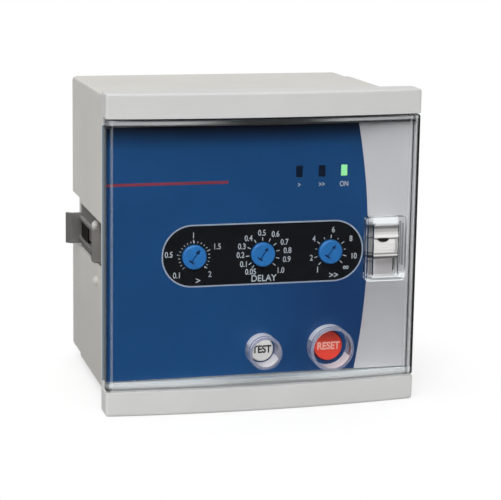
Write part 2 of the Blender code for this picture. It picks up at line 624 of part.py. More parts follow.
def make_rear_cover(shop):
    """Rear cover: a stepped-in cap with a spigot, terminal openings and the ends of the clip channels."""
    half = case_half(CASE_REAR) - REAR_COVER_STEP
    cap = box(shop, (-half, half), (COVER_SHELL_FRONT, RELAY_REAR), (-half, half), CASE_CORNER_RADIUS, 1)
    inner = half - REAR_COVER_WALL
    wall_front = RELAY_REAR - REAR_COVER_WALL
    cut(cap, box(shop, (-inner, inner), (COVER_SHELL_FRONT - MM, wall_front), (-inner, inner)))
    spigot_half = case_half(CASE_REAR) - CASE_WALL - SEAT_GAP
    spigot_inner = spigot_half - SPIGOT_WALL
    spigot = extruded(shop, [rectangle(0, 0, 2 * spigot_half, 2 * spigot_half),
                             rectangle(0, 0, 2 * spigot_inner, 2 * spigot_inner)],
                      "XZ", COVER_SHELL_FRONT - SPIGOT_LENGTH, COVER_SHELL_FRONT + MM)
    reach = CHANNEL_HALF + CHANNEL_FLOOR + SEAT_GAP
    levels = (CLIP_HEIGHT_OFFSET - reach, CLIP_HEIGHT_OFFSET + reach)
    cut(spigot, box(shop, (-half, half), (CASE_FRONT, COVER_SHELL_FRONT - 0.01 * MM), levels))
    join(cap, spigot)
    additions = []
    for side in (-1, 1):
        limits = sorted((side * (CHANNEL_FLOOR_X - CHANNEL_FLOOR), side * (half - REAR_COVER_WALL / 2)))
        levels = (CLIP_HEIGHT_OFFSET - reach, CLIP_HEIGHT_OFFSET + reach)
        additions.append(box(shop, limits, (COVER_SHELL_FRONT, wall_front + MM), levels))
        for level in (-1, 1):
            start = (side * (REAR_BOARD_WIDTH / 2 - PILLAR_DIAMETER / 2), wall_front + MM,
                     level * (REAR_BOARD_HEIGHT / 2 - PILLAR_DIAMETER / 2))
            top = wall_front + MM - REAR_BOARD_REAR - SEAT_GAP
            pin = top + SEAT_GAP + BOARD_THICKNESS + PILLAR_PIN_DIAMETER / 2
            profile = [(0.0, pin), (PILLAR_PIN_DIAMETER / 2, pin), (PILLAR_PIN_DIAMETER / 2, top),
                       (PILLAR_DIAMETER / 2, top), (PILLAR_DIAMETER / 2, 0.0), (0.0, 0.0)]
            additions.append(turned(shop, profile, start, FRONT, 12))
    join(cap, *additions)
    cutters = []
    for side in (-1, 1):
        limits = sorted((side * CHANNEL_FLOOR_X, side * CASE_SIZE))
        levels = (CLIP_HEIGHT_OFFSET - CHANNEL_HALF, CLIP_HEIGHT_OFFSET + CHANNEL_HALF)
        cutters.append(box(shop, limits, (COVER_SHELL_FRONT - MM, RELAY_REAR + MM), levels))
        width = TERMINAL_WIDTH / 2 + SEAT_GAP
        height = TERMINAL_HALF_HEIGHT + SEAT_GAP
        cutters.append(box(shop, (side * TERMINAL_X - width, side * TERMINAL_X + width),
                           (wall_front - MM, RELAY_REAR + MM), (-height, height)))
    cut(cap, *cutters)
    hand_in(shop, cap, "rear_cover", shop.finish("case_grey", "b9b7b2"), (0, RELAY_REAR, 0))


def make_mounting_clip(shop, side, name):
    """Mounting clip: a bent steel strap with a foot for the panel, a thumb tab, a window and a pip."""
    z = CLIP_HEIGHT_OFFSET
    rear = CLIP_FRONT + CLIP_LENGTH
    across = sorted((side * CLIP_INNER_X, side * CLIP_OUTER_X))
    strap = box(shop, across, (CLIP_FRONT, rear), (z - CLIP_HALF_WIDTH, z + CLIP_HALF_WIDTH))
    foot_end = CLIP_OUTER_X + CLIP_FOOT_REACH
    foot = box(shop, sorted((side * CLIP_INNER_X, side * foot_end)), (CLIP_FRONT, CLIP_FRONT + CLIP_SHEET),
               (CLIP_GRIP_Z - CLIP_FOOT_HALF, CLIP_GRIP_Z + CLIP_FOOT_HALF), CLIP_SHEET * 0.8, 1)
    tab_end = CLIP_OUTER_X + CLIP_TAB_REACH
    curl = CLIP_TAB_CURL
    tab_plan = [(CLIP_INNER_X, rear - CLIP_SHEET), (tab_end, rear - CLIP_SHEET),
                (tab_end + curl, rear - CLIP_SHEET + curl),
                (tab_end + curl - CLIP_SHEET * 0.7, rear + curl - CLIP_SHEET * 0.3),
                (tab_end - CLIP_SHEET * 0.4, rear), (CLIP_INNER_X, rear)]
    plan = [(side * u, v) for u, v in tab_plan]
    tab = extruded(shop, [plan], "XY", CLIP_GRIP_Z - CLIP_TAB_HALF, CLIP_GRIP_Z + CLIP_TAB_HALF)
    pieces = [foot, tab]
    for level in (-1, 1):
        edge = CLIP_GRIP_Z + level * CLIP_WINDOW_HALF
        limits = sorted((edge, edge + level * CLIP_SHEET))
        depth = sorted((side * (CLIP_INNER_X + SEAT_GAP), side * (CLIP_OUTER_X + CLIP_RIB_HEIGHT)))
        pieces.append(box(shop, depth, (CLIP_FRONT + CLIP_SHEET / 2, rear - CLIP_SHEET / 2), limits))
    radius = CLIP_PIP_DIAMETER / 2
    dome = [(0.0, CLIP_PIP_HEIGHT), (radius * 0.55, CLIP_PIP_HEIGHT - radius * 0.12),
            (radius * 0.88, CLIP_PIP_HEIGHT - radius * 0.45), (radius, CLIP_PIP_HEIGHT - radius * 0.9),
            (radius, -CLIP_SHEET / 2), (0.0, -CLIP_SHEET / 2)]
    place = (side * CLIP_OUTER_X, CLIP_FRONT + CLIP_PIP_SETBACK, z + CLIP_PIP_RISE)
    pieces.append(turned(shop, dome, place, Vector((side, 0, 0)), 16))
    join(strap, *pieces)
    front = CLIP_FRONT + CLIP_WINDOW_FRONT
    cut(strap, box(shop, sorted((side * (CLIP_INNER_X - MM), side * (CLIP_OUTER_X + MM))),
                   (front, front + CLIP_WINDOW_LENGTH),
                   (CLIP_GRIP_Z - CLIP_WINDOW_HALF, CLIP_GRIP_Z + CLIP_WINDOW_HALF), CLIP_SHEET, 0))
    steel = shop.finish("clip_steel", "7c7c78", 0.45, 0.9)
    hand_in(shop, strap, name, steel, (side * CLIP_INNER_X, CLIP_FRONT, z))


def plate_holes(margin):
    """Return the holes that the label and the front plate share, wider than each piece by a margin."""
    holes = [circle(knob_x(i), KNOB_ROW, KNOB_DIAMETER / 2 + margin) for i in range(3)]
    holes.append(circle(knob_x(1), BUTTON_ROW, TEST_DIAMETER / 2 + margin))
    holes.append(circle(knob_x(2), BUTTON_ROW, RESET_DIAMETER / 2 + margin))
    for i in range(3):
        holes.append(rectangle(lamp_x(i), LAMP_ROW, LAMP_WIDTH + 2 * margin, LAMP_HEIGHT + 2 * margin))
    return holes


def make_front_plate(shop):
    """Front plate: carries the front board on pillars, and the lug that the cover's latch closes on."""
    plate = box(shop, (-PLATE_WIDTH / 2, PLATE_WIDTH / 2), (PLATE_FRONT, PLATE_REAR),
                (-PLATE_HEIGHT / 2, PLATE_HEIGHT / 2))
    holes = [extruded(shop, [outline], "XZ", PLATE_FRONT - PLATE_THICKNESS, PLATE_REAR + PLATE_THICKNESS)
             for outline in plate_holes(RUNNING_GAP)]
    cut(plate, *holes)
    additions = []
    for side in (-1, 1):
        for level in (-1, 1):
            start = (side * PILLAR_X, PLATE_REAR - PLATE_THICKNESS / 2, level * PILLAR_Z)
            top = PLATE_THICKNESS / 2 + PILLAR_LENGTH
            pin = top + SEAT_GAP + BOARD_THICKNESS + PILLAR_PIN_DIAMETER / 2
            profile = [(0.0, pin), (PILLAR_PIN_DIAMETER / 2, pin), (PILLAR_PIN_DIAMETER / 2, top),
                       (PILLAR_DIAMETER / 2, top), (PILLAR_DIAMETER / 2, 0.0), (0.0, 0.0)]
            additions.append(turned(shop, profile, start, REAR, 12))
    head_rear = LATCH_FRAME_REAR
    head_front = head_rear - CATCH_HEAD_DEPTH
    z = catch_z()
    additions.append(box(shop, (LATCH_X - CATCH_SHANK / 2, LATCH_X + CATCH_SHANK / 2),
                         (head_rear - CATCH_HEAD_DEPTH / 2, PLATE_REAR - PLATE_THICKNESS / 2),
                         (z - CATCH_SHANK / 2, z + CATCH_SHANK / 2)))
    additions.append(box(shop, (LATCH_X - CATCH_HEAD / 2, LATCH_X + CATCH_HEAD / 2),
                         (head_front, head_rear), (z - CATCH_HEAD / 2, z + CATCH_HEAD / 2), CATCH_HEAD_DEPTH / 3))
    join(plate, *additions)
    hand_in(shop, plate, "front_plate", shop.finish("plate_dark", "2a2d33", 0.6), (0, PLATE_REAR, 0))


def make_front_label(shop):
    """Printed label that covers the front plate."""
    outlines = [rectangle(0, 0, PLATE_WIDTH, PLATE_HEIGHT)] + plate_holes(RUNNING_GAP)
    hole = CATCH_SHANK + 2 * RUNNING_GAP
    outlines.append(rectangle(LATCH_X, catch_z(), hole, hole))
    label = extruded(shop, outlines, "XZ", LABEL_SETBACK, LABEL_REAR)
    hand_in(shop, label, "front_label", shop.finish("label_blue", "1f4a77", 0.4), (0, LABEL_REAR, 0))


def well(shop, x, z, bore, front):
    """Return the tube of a button well and the cutter of its bore."""
    radius = bore + WELL_WALL
    rear = COVER_RIM
    tube = cylinder(shop, radius, (x, front, z), REAR, rear - front, 32)
    cutter = cylinder(shop, bore, (x, front - MM, z), REAR, rear - front + 2 * MM, 32)
    return tube, cutter


def make_clear_cover(shop):
    """Clear cover: a bowed shell with hinge lugs, two button wells and the frame of the latch."""
    half = HALF_BEZEL
    rear = FLANGE_FRONT - SEAT_GAP
    cover = extruded(shop, [bowed_plan(half, COVER_GAP, rear)], "XY", -COVER_HALF_HEIGHT, COVER_HALF_HEIGHT)
    bevel(cover, COVER_EDGE_RADIUS, lambda p: p.y < rear - MM)
    inner_half = half - COVER_WALL
    inner_height = COVER_HALF_HEIGHT - COVER_WALL
    cavity = extruded(shop, [bowed_plan(inner_half, COVER_GAP + COVER_FRONT_WALL, rear + MM)], "XY",
                      -inner_height, inner_height)
    trims = [box(shop, sorted((side * 2 * half, side * (inner_half - SEAT_GAP))), (COVER_RIM, rear + MM),
                 (-half, half)) for side in (-1, 1)]
    heel = COVER_RIM - HINGE_SETBACK
    corner = [(-half - MM, HINGE_SETBACK + heel / 3), (-half, HINGE_SETBACK + heel / 3),
              (HINGE_X - heel * 0.7, HINGE_SETBACK + heel * 0.7), (HINGE_X - heel / 3, COVER_RIM),
              (HINGE_X - heel / 3, COVER_RIM + MM), (-half - MM, COVER_RIM + MM)]
    cut(cover, cavity, *trims)
    cut(cover, extruded(shop, [corner], "XY", -half, half))
    tubes, cutters = [], []
    for x, diameter, clearance in ((knob_x(1), TEST_DIAMETER, TEST_WELL_CLEARANCE),
                                   (knob_x(2), RESET_DIAMETER, RESET_WELL_CLEARANCE)):
        tube, bore = well(shop, x, BUTTON_ROW, diameter / 2 + clearance, bow(x, COVER_GAP) - WELL_PROUD)
        tubes.append(tube)
        cutters.append(bore)
    frame_x = (LATCH_X - LATCH_FRAME_WIDTH / 2, LATCH_X + LATCH_FRAME_WIDTH / 2)
    tubes.append(box(shop, frame_x, (LATCH_FRAME_FRONT, LATCH_FRAME_REAR), (LATCH_FRAME_BOTTOM, LATCH_FRAME_TOP),
                     COVER_EDGE_RADIUS, 1))
    lug_x = (HINGE_X - heel / 3, HINGE_X + HINGE_INSET)
    for side in (-1, 1):
        levels = sorted((side * (COVER_HALF_HEIGHT - HINGE_LUG_HEIGHT), side * (COVER_HALF_HEIGHT - MM)))
        tubes.append(box(shop, lug_x, (HINGE_SETBACK - HINGE_INSET, COVER_RIM), levels))
    join(cover, *tubes)
    bottom, top = latch_window()
    window = LATCH_FRAME_WIDTH / 2 - LATCH_SIDE_WALL
    slot = window - LATCH_LEDGE
    cutters.append(box(shop, (LATCH_X - window, LATCH_X + window),
                       (LATCH_FRAME_FRONT - MM, LATCH_FRAME_FRONT + LATCH_LEDGE_DEPTH), (bottom, top)))
    cutters.append(box(shop, (LATCH_X - slot, LATCH_X + slot), (LATCH_FRAME_FRONT, LATCH_FRAME_REAR + MM),
                       (bottom, top)))
    for side in (-1, 1):
        start = (HINGE_X, HINGE_SETBACK, side * (COVER_HALF_HEIGHT + MM))
        cutters.append(cylinder(shop, HINGE_PIN_DIAMETER / 2 + HINGE_PIN_CLEARANCE, start, -UP * side,
                                HINGE_PIN_IN_COVER + MM + SEAT_GAP, 12))
    cut(cover, *cutters)
    origin = (HINGE_X, HINGE_SETBACK, 0)
    return hand_in(shop, cover, "clear_cover", shop.finish("clear_plastic", "eef2f4", 0.05, 0.0, 1.0), origin)


def make_cover_latch(shop, cover):
    """Sliding latch: a ribbed thumb pad on a neck, with a keyhole plate behind the cover's frame."""
    bottom, top = latch_rest()
    window = LATCH_FRAME_WIDTH / 2 - LATCH_SIDE_WALL
    pad_half = window - SEAT_GAP
    neck_half = window - LATCH_LEDGE - SEAT_GAP
    pad_rear = LATCH_FRAME_FRONT + LATCH_LEDGE_DEPTH - SEAT_GAP
    pad_front = LATCH_FRAME_FRONT + SEAT_GAP
    plate_front = LATCH_FRAME_REAR + SEAT_GAP
    plate_rear = plate_front + LATCH_PLATE
    step = top - LATCH_RAMP
    barrel = step - LATCH_DENT_HEIGHT
    side_view = [(pad_rear, bottom), (pad_front + 0.4 * MM, bottom), (pad_front + 0.4 * MM, bottom + 0.4 * MM),
                 (pad_front + 0.2 * MM, bottom + 0.6 * MM), (pad_front + 0.2 * MM, bottom + 1.1 * MM),
                 (pad_front + 0.6 * MM, bottom + 1.3 * MM), (pad_front + 0.3 * MM, barrel - 3.2 * MM),
                 (pad_front + 0.05 * MM, barrel - 2.2 * MM), (pad_front, barrel - 1.4 * MM),
                 (pad_front + 0.1 * MM, barrel - 0.6 * MM), (pad_front + 0.45 * MM, barrel),
                 (pad_front + 0.75 * MM, step - 0.3 * MM), (pad_front + 0.1 * MM, step), (pad_front, step + 0.3 * MM),
                 (pad_front + 0.2 * MM, step + 1.0 * MM), (pad_front + 0.55 * MM, step + 1.8 * MM),
                 (pad_front + 0.85 * MM, top - 0.9 * MM), (pad_front + 0.95 * MM, top), (pad_rear, top)]
    latch = extruded(shop, [side_view], "YZ", LATCH_X - pad_half, LATCH_X + pad_half)
    neck = box(shop, (LATCH_X - neck_half, LATCH_X + neck_half), (pad_rear - MM / 3, plate_front + MM / 5),
               (bottom, top))
    plate_half = window - LATCH_LEDGE + LATCH_PLATE_OVERLAP
    plate = box(shop, (LATCH_X - plate_half, LATCH_X + plate_half), (plate_front, plate_rear),
                (bottom - LATCH_PLATE, top))
    ribs = []
    for index in range(3):
        level = barrel - (1.0 + 0.8 * index) * MM
        ribs.append(box(shop, (LATCH_X - pad_half + MM / 2, LATCH_X + pad_half - MM / 2),
                        (pad_front - 0.1 * MM, pad_front + MM / 2), (level, level + 0.35 * MM)))
    join(latch, neck, plate, *ribs)
    head = CATCH_HEAD / 2 + RUNNING_GAP
    shank = CATCH_SHANK / 2 + RUNNING_GAP / 2
    z = catch_z()
    roof = LATCH_FRAME_REAR - CATCH_HEAD_DEPTH - RUNNING_GAP
    room = (LATCH_X - head, LATCH_X + head)
    cavity = box(shop, room, (roof, plate_front), (z - head, z + LATCH_TRAVEL + head))
    entry = box(shop, room, (plate_front - MM / 5, plate_rear + MM), (z - head, z + head))
    keyway = box(shop, (LATCH_X - shank, LATCH_X + shank), (plate_front - MM / 5, plate_rear + MM),
                 (z, z + LATCH_TRAVEL + shank))
    dent_x = LATCH_X - pad_half * 0.27
    across, up = LATCH_DENT_WIDTH / 2, LATCH_DENT_HEIGHT / 2
    lens = [(dent_x + across * math.cos(2 * math.pi * i / 16), step - up + up * math.sin(2 * math.pi * i / 16))
            for i in range(16)]
    dent = extruded(shop, [lens], "XZ", pad_front - MM, pad_front + 1.1 * MM)
    cut(latch, cavity, entry, keyway, dent)
    hand_in(shop, latch, "cover_latch", shop.finish("latch_clear", "dfe3e4", 0.25, 0.0, 0.8),
            (LATCH_X, plate_front, (bottom + top) / 2), cover)


def make_hinge_pins(shop):
    """Two short steel pins that join the cover's lugs to the strips."""
    for side, name in ((1, "hinge_pin_top"), (-1, "hinge_pin_bottom")):
        low = COVER_HALF_HEIGHT - HINGE_PIN_IN_COVER
        length = WINDOW_HALF + HINGE_PIN_IN_STRIP - low
        start = (HINGE_X, HINGE_SETBACK, side * low)
        pin = cylinder(shop, HINGE_PIN_DIAMETER / 2, start, UP * side, length, 12)
        hand_in(shop, pin, name, shop.finish("pin_steel", "b8babd", 0.3, 1.0), start)


def make_button(shop, name, x, diameter, colour):
    """Push button: a cap with a rounded edge and a flange behind the plate."""
    face = LABEL_SETBACK - BUTTON_PROUD
    seat = PLATE_REAR + SEAT_GAP
    depth = seat - face
    radius = diameter / 2
    edge = 0.4 * MM
    rim = radius + BUTTON_FLANGE
    foot = -BUTTON_FLANGE_THICKNESS
    profile = [(0.0, depth), (radius - edge, depth), (radius - edge * 0.3, depth - edge * 0.3),
               (radius, depth - edge), (radius, 0.0), (rim, 0.0), (rim, foot), (0.0, foot)]
    button = turned(shop, profile, (x, seat, BUTTON_ROW), FRONT, 28)
    hand_in(shop, button, name, shop.finish(name + "_plastic", colour, 0.35), (x, seat, BUTTON_ROW))


def make_spring(shop, name, x, diameter):
    """Return spring: a coil between the button's flange and the board, round the switch."""
    start = PLATE_REAR + SEAT_GAP + BUTTON_FLANGE_THICKNESS + SEAT_GAP + SPRING_WIRE / 2
    end = COMPONENT_SEAT - SPRING_WIRE / 2
    radius = diameter / 2 + BUTTON_FLANGE - SPRING_WIRE
    per_turn = 14
    count = int(SPRING_TURNS * per_turn)
    curve = bpy.data.curves.new(name, "CURVE")
    curve.dimensions = "3D"
    curve.bevel_depth = SPRING_WIRE / 2
    curve.bevel_resolution = 1
    curve.use_fill_caps = True
    spline = curve.splines.new("POLY")
    spline.points.add(count)
    for i, point in enumerate(spline.points):
        angle = 2 * math.pi * i / per_turn
        share = i / count
        spread = min(max((share - 0.12) / 0.76, 0.0), 1.0)
        level = start + (end - start) * spread
        point.co = (x + radius * math.cos(angle), level, BUTTON_ROW + radius * math.sin(angle), 1.0)
    drawn = bpy.data.objects.new(name + "_path", curve)
    shop.bench.objects.link(drawn)
    graph = bpy.context.evaluated_depsgraph_get()
    mesh = bpy.data.meshes.new_from_object(drawn.evaluated_get(graph))
    bpy.data.objects.remove(drawn, do_unlink=True)
    shape = bmesh.new()
    shape.from_mesh(mesh)
    bmesh.ops.remove_doubles(shape, verts=shape.verts, dist=0.000001)
    bmesh.ops.recalc_face_normals(shape, faces=shape.faces)
    shape.to_mesh(mesh)
    shape.free()
    spring = on_bench(shop, mesh)
    hand_in(shop, spring, name, shop.finish("spring_steel", "a9abad", 0.3, 1.0), (x, end, BUTTON_ROW))


def make_switch(shop, name, x):
    """Tactile switch on the front board, with its round tip towards the button."""
    half = SWITCH_SIZE / 2
    front = COMPONENT_SEAT - SWITCH_DEPTH
    body = box(shop, (x - half, x + half), (front, COMPONENT_SEAT),
               (BUTTON_ROW - half, BUTTON_ROW + half), 0.3 * MM, 1)
    tip = cylinder(shop, SWITCH_TIP_DIAMETER / 2, (x, front + MM / 2, BUTTON_ROW), FRONT,
                   SWITCH_TIP_LENGTH + MM / 2, 16)
    join(body, tip)
    hand_in(shop, body, name, shop.finish("switch_black", "1b1c1e", 0.5), (x, COMPONENT_SEAT, BUTTON_ROW))


def make_knob(shop, name, x):
    """Trimmer knob: a round cap with an arrow slot, on a stem that enters its potentiometer."""
    face = LABEL_SETBACK - KNOB_PROUD
    radius = KNOB_DIAMETER / 2
    edge = 0.35 * MM
    stem_end = COMPONENT_SEAT - POT_DEPTH + POT_DEPTH / 2 - SEAT_GAP
    cap_rear = face + KNOB_BODY_DEPTH
    top = stem_end - face
    neck = stem_end - cap_rear
    profile = [(0.0, top), (radius - edge, top), (radius, top - edge), (radius, neck),
               (KNOB_STEM_DIAMETER / 2, neck), (KNOB_STEM_DIAMETER / 2, 0.0), (0.0, 0.0)]
    knob = turned(shop, profile, (x, stem_end, KNOB_ROW), FRONT)
    reach = radius * 0.74
    half = KNOB_SLOT_WIDTH / 2
    tail = -radius * 0.45
    arrow = [(tail, -half), (reach * 0.5, -half), (reach * 0.45, -half * 3.4), (reach, 0.0),
             (reach * 0.45, half * 3.4), (reach * 0.5, half), (tail, half)]
    cross = [(tail - half, -half * 4.4), (tail + half, -half * 4.4), (tail + half, half * 4.4),
             (tail - half, half * 4.4)]
    turn = math.radians(KNOB_POINTER_ANGLE)
    cutters = []
    for outline in (arrow, cross):
        points = [(x + u * math.cos(turn) - v * math.sin(turn), KNOB_ROW + u * math.sin(turn) + v * math.cos(turn))
                  for u, v in outline]
        cutters.append(extruded(shop, [points], "XZ", face - MM, face + KNOB_SLOT_DEPTH))
    cut(knob, *cutters)
    hand_in(shop, knob, name, shop.finish("knob_blue", "2a72b5", 0.4), (x, face, KNOB_ROW))


def make_potentiometer(shop, name, x):
    """Potentiometer body on the front board, bored for the knob's stem."""
    half = POT_SIZE / 2
    front = COMPONENT_SEAT - POT_DEPTH
    body = box(shop, (x - half, x + half), (front, COMPONENT_SEAT),
               (KNOB_ROW - half, KNOB_ROW + half), 0.6 * MM, 1)
    bore = cylinder(shop, KNOB_STEM_DIAMETER / 2 + SEAT_GAP, (x, front - MM, KNOB_ROW), REAR,
                    MM + POT_DEPTH / 2, 16)
    cut(body, bore)
    hand_in(shop, body, name, shop.finish("pot_blue", "22507e", 0.5), (x, COMPONENT_SEAT, KNOB_ROW))


def make_lamp(shop, name, x, colour):
    """Rectangular lamp body that stands on the front board and ends flush with the label."""
    body = box(shop, (x - LAMP_WIDTH / 2, x + LAMP_WIDTH / 2), (LABEL_SETBACK, COMPONENT_SEAT),
               (LAMP_ROW - LAMP_HEIGHT / 2, LAMP_ROW + LAMP_HEIGHT / 2), 0.15 * MM, None, 1)
    base = MM
    foot = box(shop, (x - LAMP_WIDTH / 2 - base / 2, x + LAMP_WIDTH / 2 + base / 2),
               (COMPONENT_SEAT - base, COMPONENT_SEAT),
               (LAMP_ROW - LAMP_HEIGHT / 2 - base / 2, LAMP_ROW + LAMP_HEIGHT / 2 + base / 2))
    join(body, foot)
    hand_in(shop, body, name, shop.finish(name + "_lens", colour, 0.3), (x, COMPONENT_SEAT, LAMP_ROW))


def make_boards(shop):
    """Front, main and rear circuit boards, each located by pins or rails."""
    green = shop.finish("board_green", "1f5a3a", 0.55)
    hole = PILLAR_PIN_DIAMETER / 2 + SEAT_GAP
    outlines = [rectangle(0, 0, FRONT_BOARD_WIDTH, FRONT_BOARD_HEIGHT)]
    outlines += [circle(sx * PILLAR_X, sz * PILLAR_Z, hole, 12) for sx in (-1, 1) for sz in (-1, 1)]
    front = extruded(shop, outlines, "XZ", FRONT_BOARD_FRONT, FRONT_BOARD_REAR)
    hand_in(shop, front, "front_board", green, (0, FRONT_BOARD_FRONT, 0))
    x = REAR_BOARD_WIDTH / 2 - PILLAR_DIAMETER / 2
    z = REAR_BOARD_HEIGHT / 2 - PILLAR_DIAMETER / 2
    outlines = [rectangle(0, 0, REAR_BOARD_WIDTH, REAR_BOARD_HEIGHT)]
    outlines += [circle(sx * x, sz * z, hole, 12) for sx in (-1, 1) for sz in (-1, 1)]
    rear = extruded(shop, outlines, "XZ", REAR_BOARD_FRONT, REAR_BOARD_REAR)
    hand_in(shop, rear, "rear_board", green, (0, REAR_BOARD_FRONT, 0))
    half = MAIN_BOARD_WIDTH / 2
    main = box(shop, (-half, half), (FRONT_BOARD_REAR + SEAT_GAP, REAR_BOARD_FRONT - SEAT_GAP),
               (MAIN_BOARD_Z, MAIN_BOARD_Z + BOARD_THICKNESS))
    hand_in(shop, main, "main_board", green, (0, FRONT_BOARD_REAR, MAIN_BOARD_Z))


def make_header(shop, name, y_front, y_rear):
    """Right-angle header that joins the main board to an upright board."""
    seat = MAIN_BOARD_Z + BOARD_THICKNESS + SEAT_GAP
    header = box(shop, (-HEADER_LEFT, HEADER_RIGHT), (y_front, y_rear), (seat, seat + HEADER_HEIGHT), SEAT_GAP, 1)
    hand_in(shop, header, name, shop.finish("header_black", "202124", 0.5), (0, y_front, seat))


def make_transformer(shop, prefix, x, y, width, depth, height, overhang):
    """Laminated core with three legs, and the winding round its middle leg."""
    seat = MAIN_BOARD_Z + BOARD_THICKNESS + SEAT_GAP
    leg = width / 6
    window = width / 6
    core = box(shop, (x - width / 2, x + width / 2), (y - depth / 2, y + depth / 2), (seat, seat + height),
               CORE_CORNER, 2)
    openings = []
    for side in (-1, 1):
        centre = x + side * (leg + window / 2)
        openings.append(box(shop, (centre - window / 2, centre + window / 2), (y - depth, y + depth),
                            (seat + leg, seat + height - leg)))
    cut(core, *openings)
    hand_in(shop, core, prefix + "_core", shop.finish("core_steel", "5b5d60", 0.5, 0.6), (x, y, seat))
    outer = leg + window - SEAT_GAP
    low = seat + leg + SEAT_GAP
    high = seat + height - leg - SEAT_GAP
    winding = box(shop, (x - outer, x + outer), (y - depth / 2 - overhang, y + depth / 2 + overhang), (low, high),
                  overhang / 2, 2)
    inner = leg + SEAT_GAP
    cut(winding, box(shop, (x - inner, x + inner), (y - depth / 2 - SEAT_GAP, y + depth / 2 + SEAT_GAP),
                     (low - MM, high + MM)))
    hand_in(shop, winding, prefix + "_winding", shop.finish("winding_amber", "b8842f", 0.45), (x, y, low))


def make_output_relay(shop, name, x, y):
    """Sealed output relay on the main board."""
    seat = MAIN_BOARD_Z + BOARD_THICKNESS + SEAT_GAP
    body = box(shop, (x - RELAY_WIDTH / 2, x + RELAY_WIDTH / 2), (y - RELAY_LENGTH / 2, y + RELAY_LENGTH / 2),
               (seat, seat + RELAY_HEIGHT), 2 * CORE_CORNER)
    hand_in(shop, body, name, shop.finish("relay_black", "26282c", 0.45), (x, y, seat))


def make_capacitor(shop, name, x, y, diameter, height):
    """Electrolytic capacitor with its crimp groove."""
    seat = MAIN_BOARD_Z + BOARD_THICKNESS + SEAT_GAP
    radius = diameter / 2
    groove = radius * 0.88
    profile = [(0.0, height), (radius * 0.9, height), (radius, height - radius * 0.1), (radius, radius * 0.7),
               (groove, radius * 0.5), (radius, radius * 0.3), (radius, 0.0), (0.0, 0.0)]
    body = turned(shop, profile, (x, y, seat), UP, 20)
    hand_in(shop, body, name, shop.finish("capacitor_sleeve", "1d3a5c", 0.4), (x, y, seat))


def make_varistor(shop, x, y):
    """Surge varistor: a lacquered disc on its legs."""
    seat = MAIN_BOARD_Z + BOARD_THICKNESS + SEAT_GAP
    radius = VARISTOR_DIAMETER / 2
    middle = seat + VARISTOR_LEG_LENGTH + radius
    disc = cylinder(shop, radius, (x, y - VARISTOR_THICKNESS / 2, middle), REAR, VARISTOR_THICKNESS, 20)
    legs = box(shop, (x - VARISTOR_LEG_WIDTH / 2, x + VARISTOR_LEG_WIDTH / 2),
               (y - VARISTOR_LEG_THICKNESS / 2, y + VARISTOR_LEG_THICKNESS / 2), (seat, middle - radius / 2))
    join(disc, legs)
    hand_in(shop, disc, "surge_varistor", shop.finish("varistor_blue", "2d5f9c", 0.5), (x, y, seat))


def make_main_board_parts(shop):
    """Transformers, output relays, capacitors and surge arrester of the main board."""
    half = MAIN_BOARD_WIDTH / 2
    trip_x = half - RELAY_SIDE_GAP - RELAY_WIDTH / 2
    alarm_x = trip_x - RELAY_WIDTH - RELAY_SPACING
    relay_y = REAR_BOARD_FRONT - SEAT_GAP - HEADER_DEPTH - PART_GAP - RELAY_LENGTH / 2
    make_output_relay(shop, "trip_relay", trip_x, relay_y)
    make_output_relay(shop, "alarm_relay", alarm_x, relay_y)
    column_x = alarm_x - RELAY_WIDTH / 2 - PART_GAP - RESERVOIR_DIAMETER / 2
    y = REAR_BOARD_FRONT - SEAT_GAP - HEADER_DEPTH - PART_GAP - RESERVOIR_DIAMETER / 2
    make_capacitor(shop, "reservoir_capacitor", column_x, y, RESERVOIR_DIAMETER, RESERVOIR_HEIGHT)
    y -= RESERVOIR_DIAMETER / 2 + PART_GAP + FILTER_DIAMETER / 2
    make_capacitor(shop, "filter_capacitor", column_x, y, FILTER_DIAMETER, FILTER_HEIGHT)
    make_varistor(shop, column_x, y - FILTER_DIAMETER / 2 - PART_GAP - VARISTOR_THICKNESS / 2)
    supply_left = -half + SUPPLY_SIDE_GAP
    supply_right = column_x - max(RESERVOIR_DIAMETER, VARISTOR_DIAMETER) / 2 - PART_GAP
    make_transformer(shop, "supply_transformer", (supply_left + supply_right) / 2,
                     REAR_BOARD_FRONT - SUPPLY_REAR_GAP - SUPPLY_OVERHANG - SUPPLY_DEPTH / 2,
                     supply_right - supply_left, SUPPLY_DEPTH, SUPPLY_HEIGHT, SUPPLY_OVERHANG)
    make_transformer(shop, "sensing_transformer", supply_left + SUPPLY_SIDE_GAP + SENSING_WIDTH / 2,
                     FRONT_BOARD_REAR + SENSING_FRONT_GAP + SENSING_OVERHANG + SENSING_DEPTH / 2,
                     SENSING_WIDTH, SENSING_DEPTH, SENSING_HEIGHT, SENSING_OVERHANG)
    chip_front = FRONT_BOARD_REAR + SEAT_GAP
    chip = box(shop, (-CHIP_SIZE / 2, CHIP_SIZE / 2), (chip_front, chip_front + CHIP_THICKNESS),
               (CHIP_RISE, CHIP_RISE + CHIP_SIZE), SEAT_GAP)
    black = shop.finish("chip_black", "17181a", 0.4)
    hand_in(shop, chip, "microcontroller", black, (0, chip_front, CHIP_RISE))


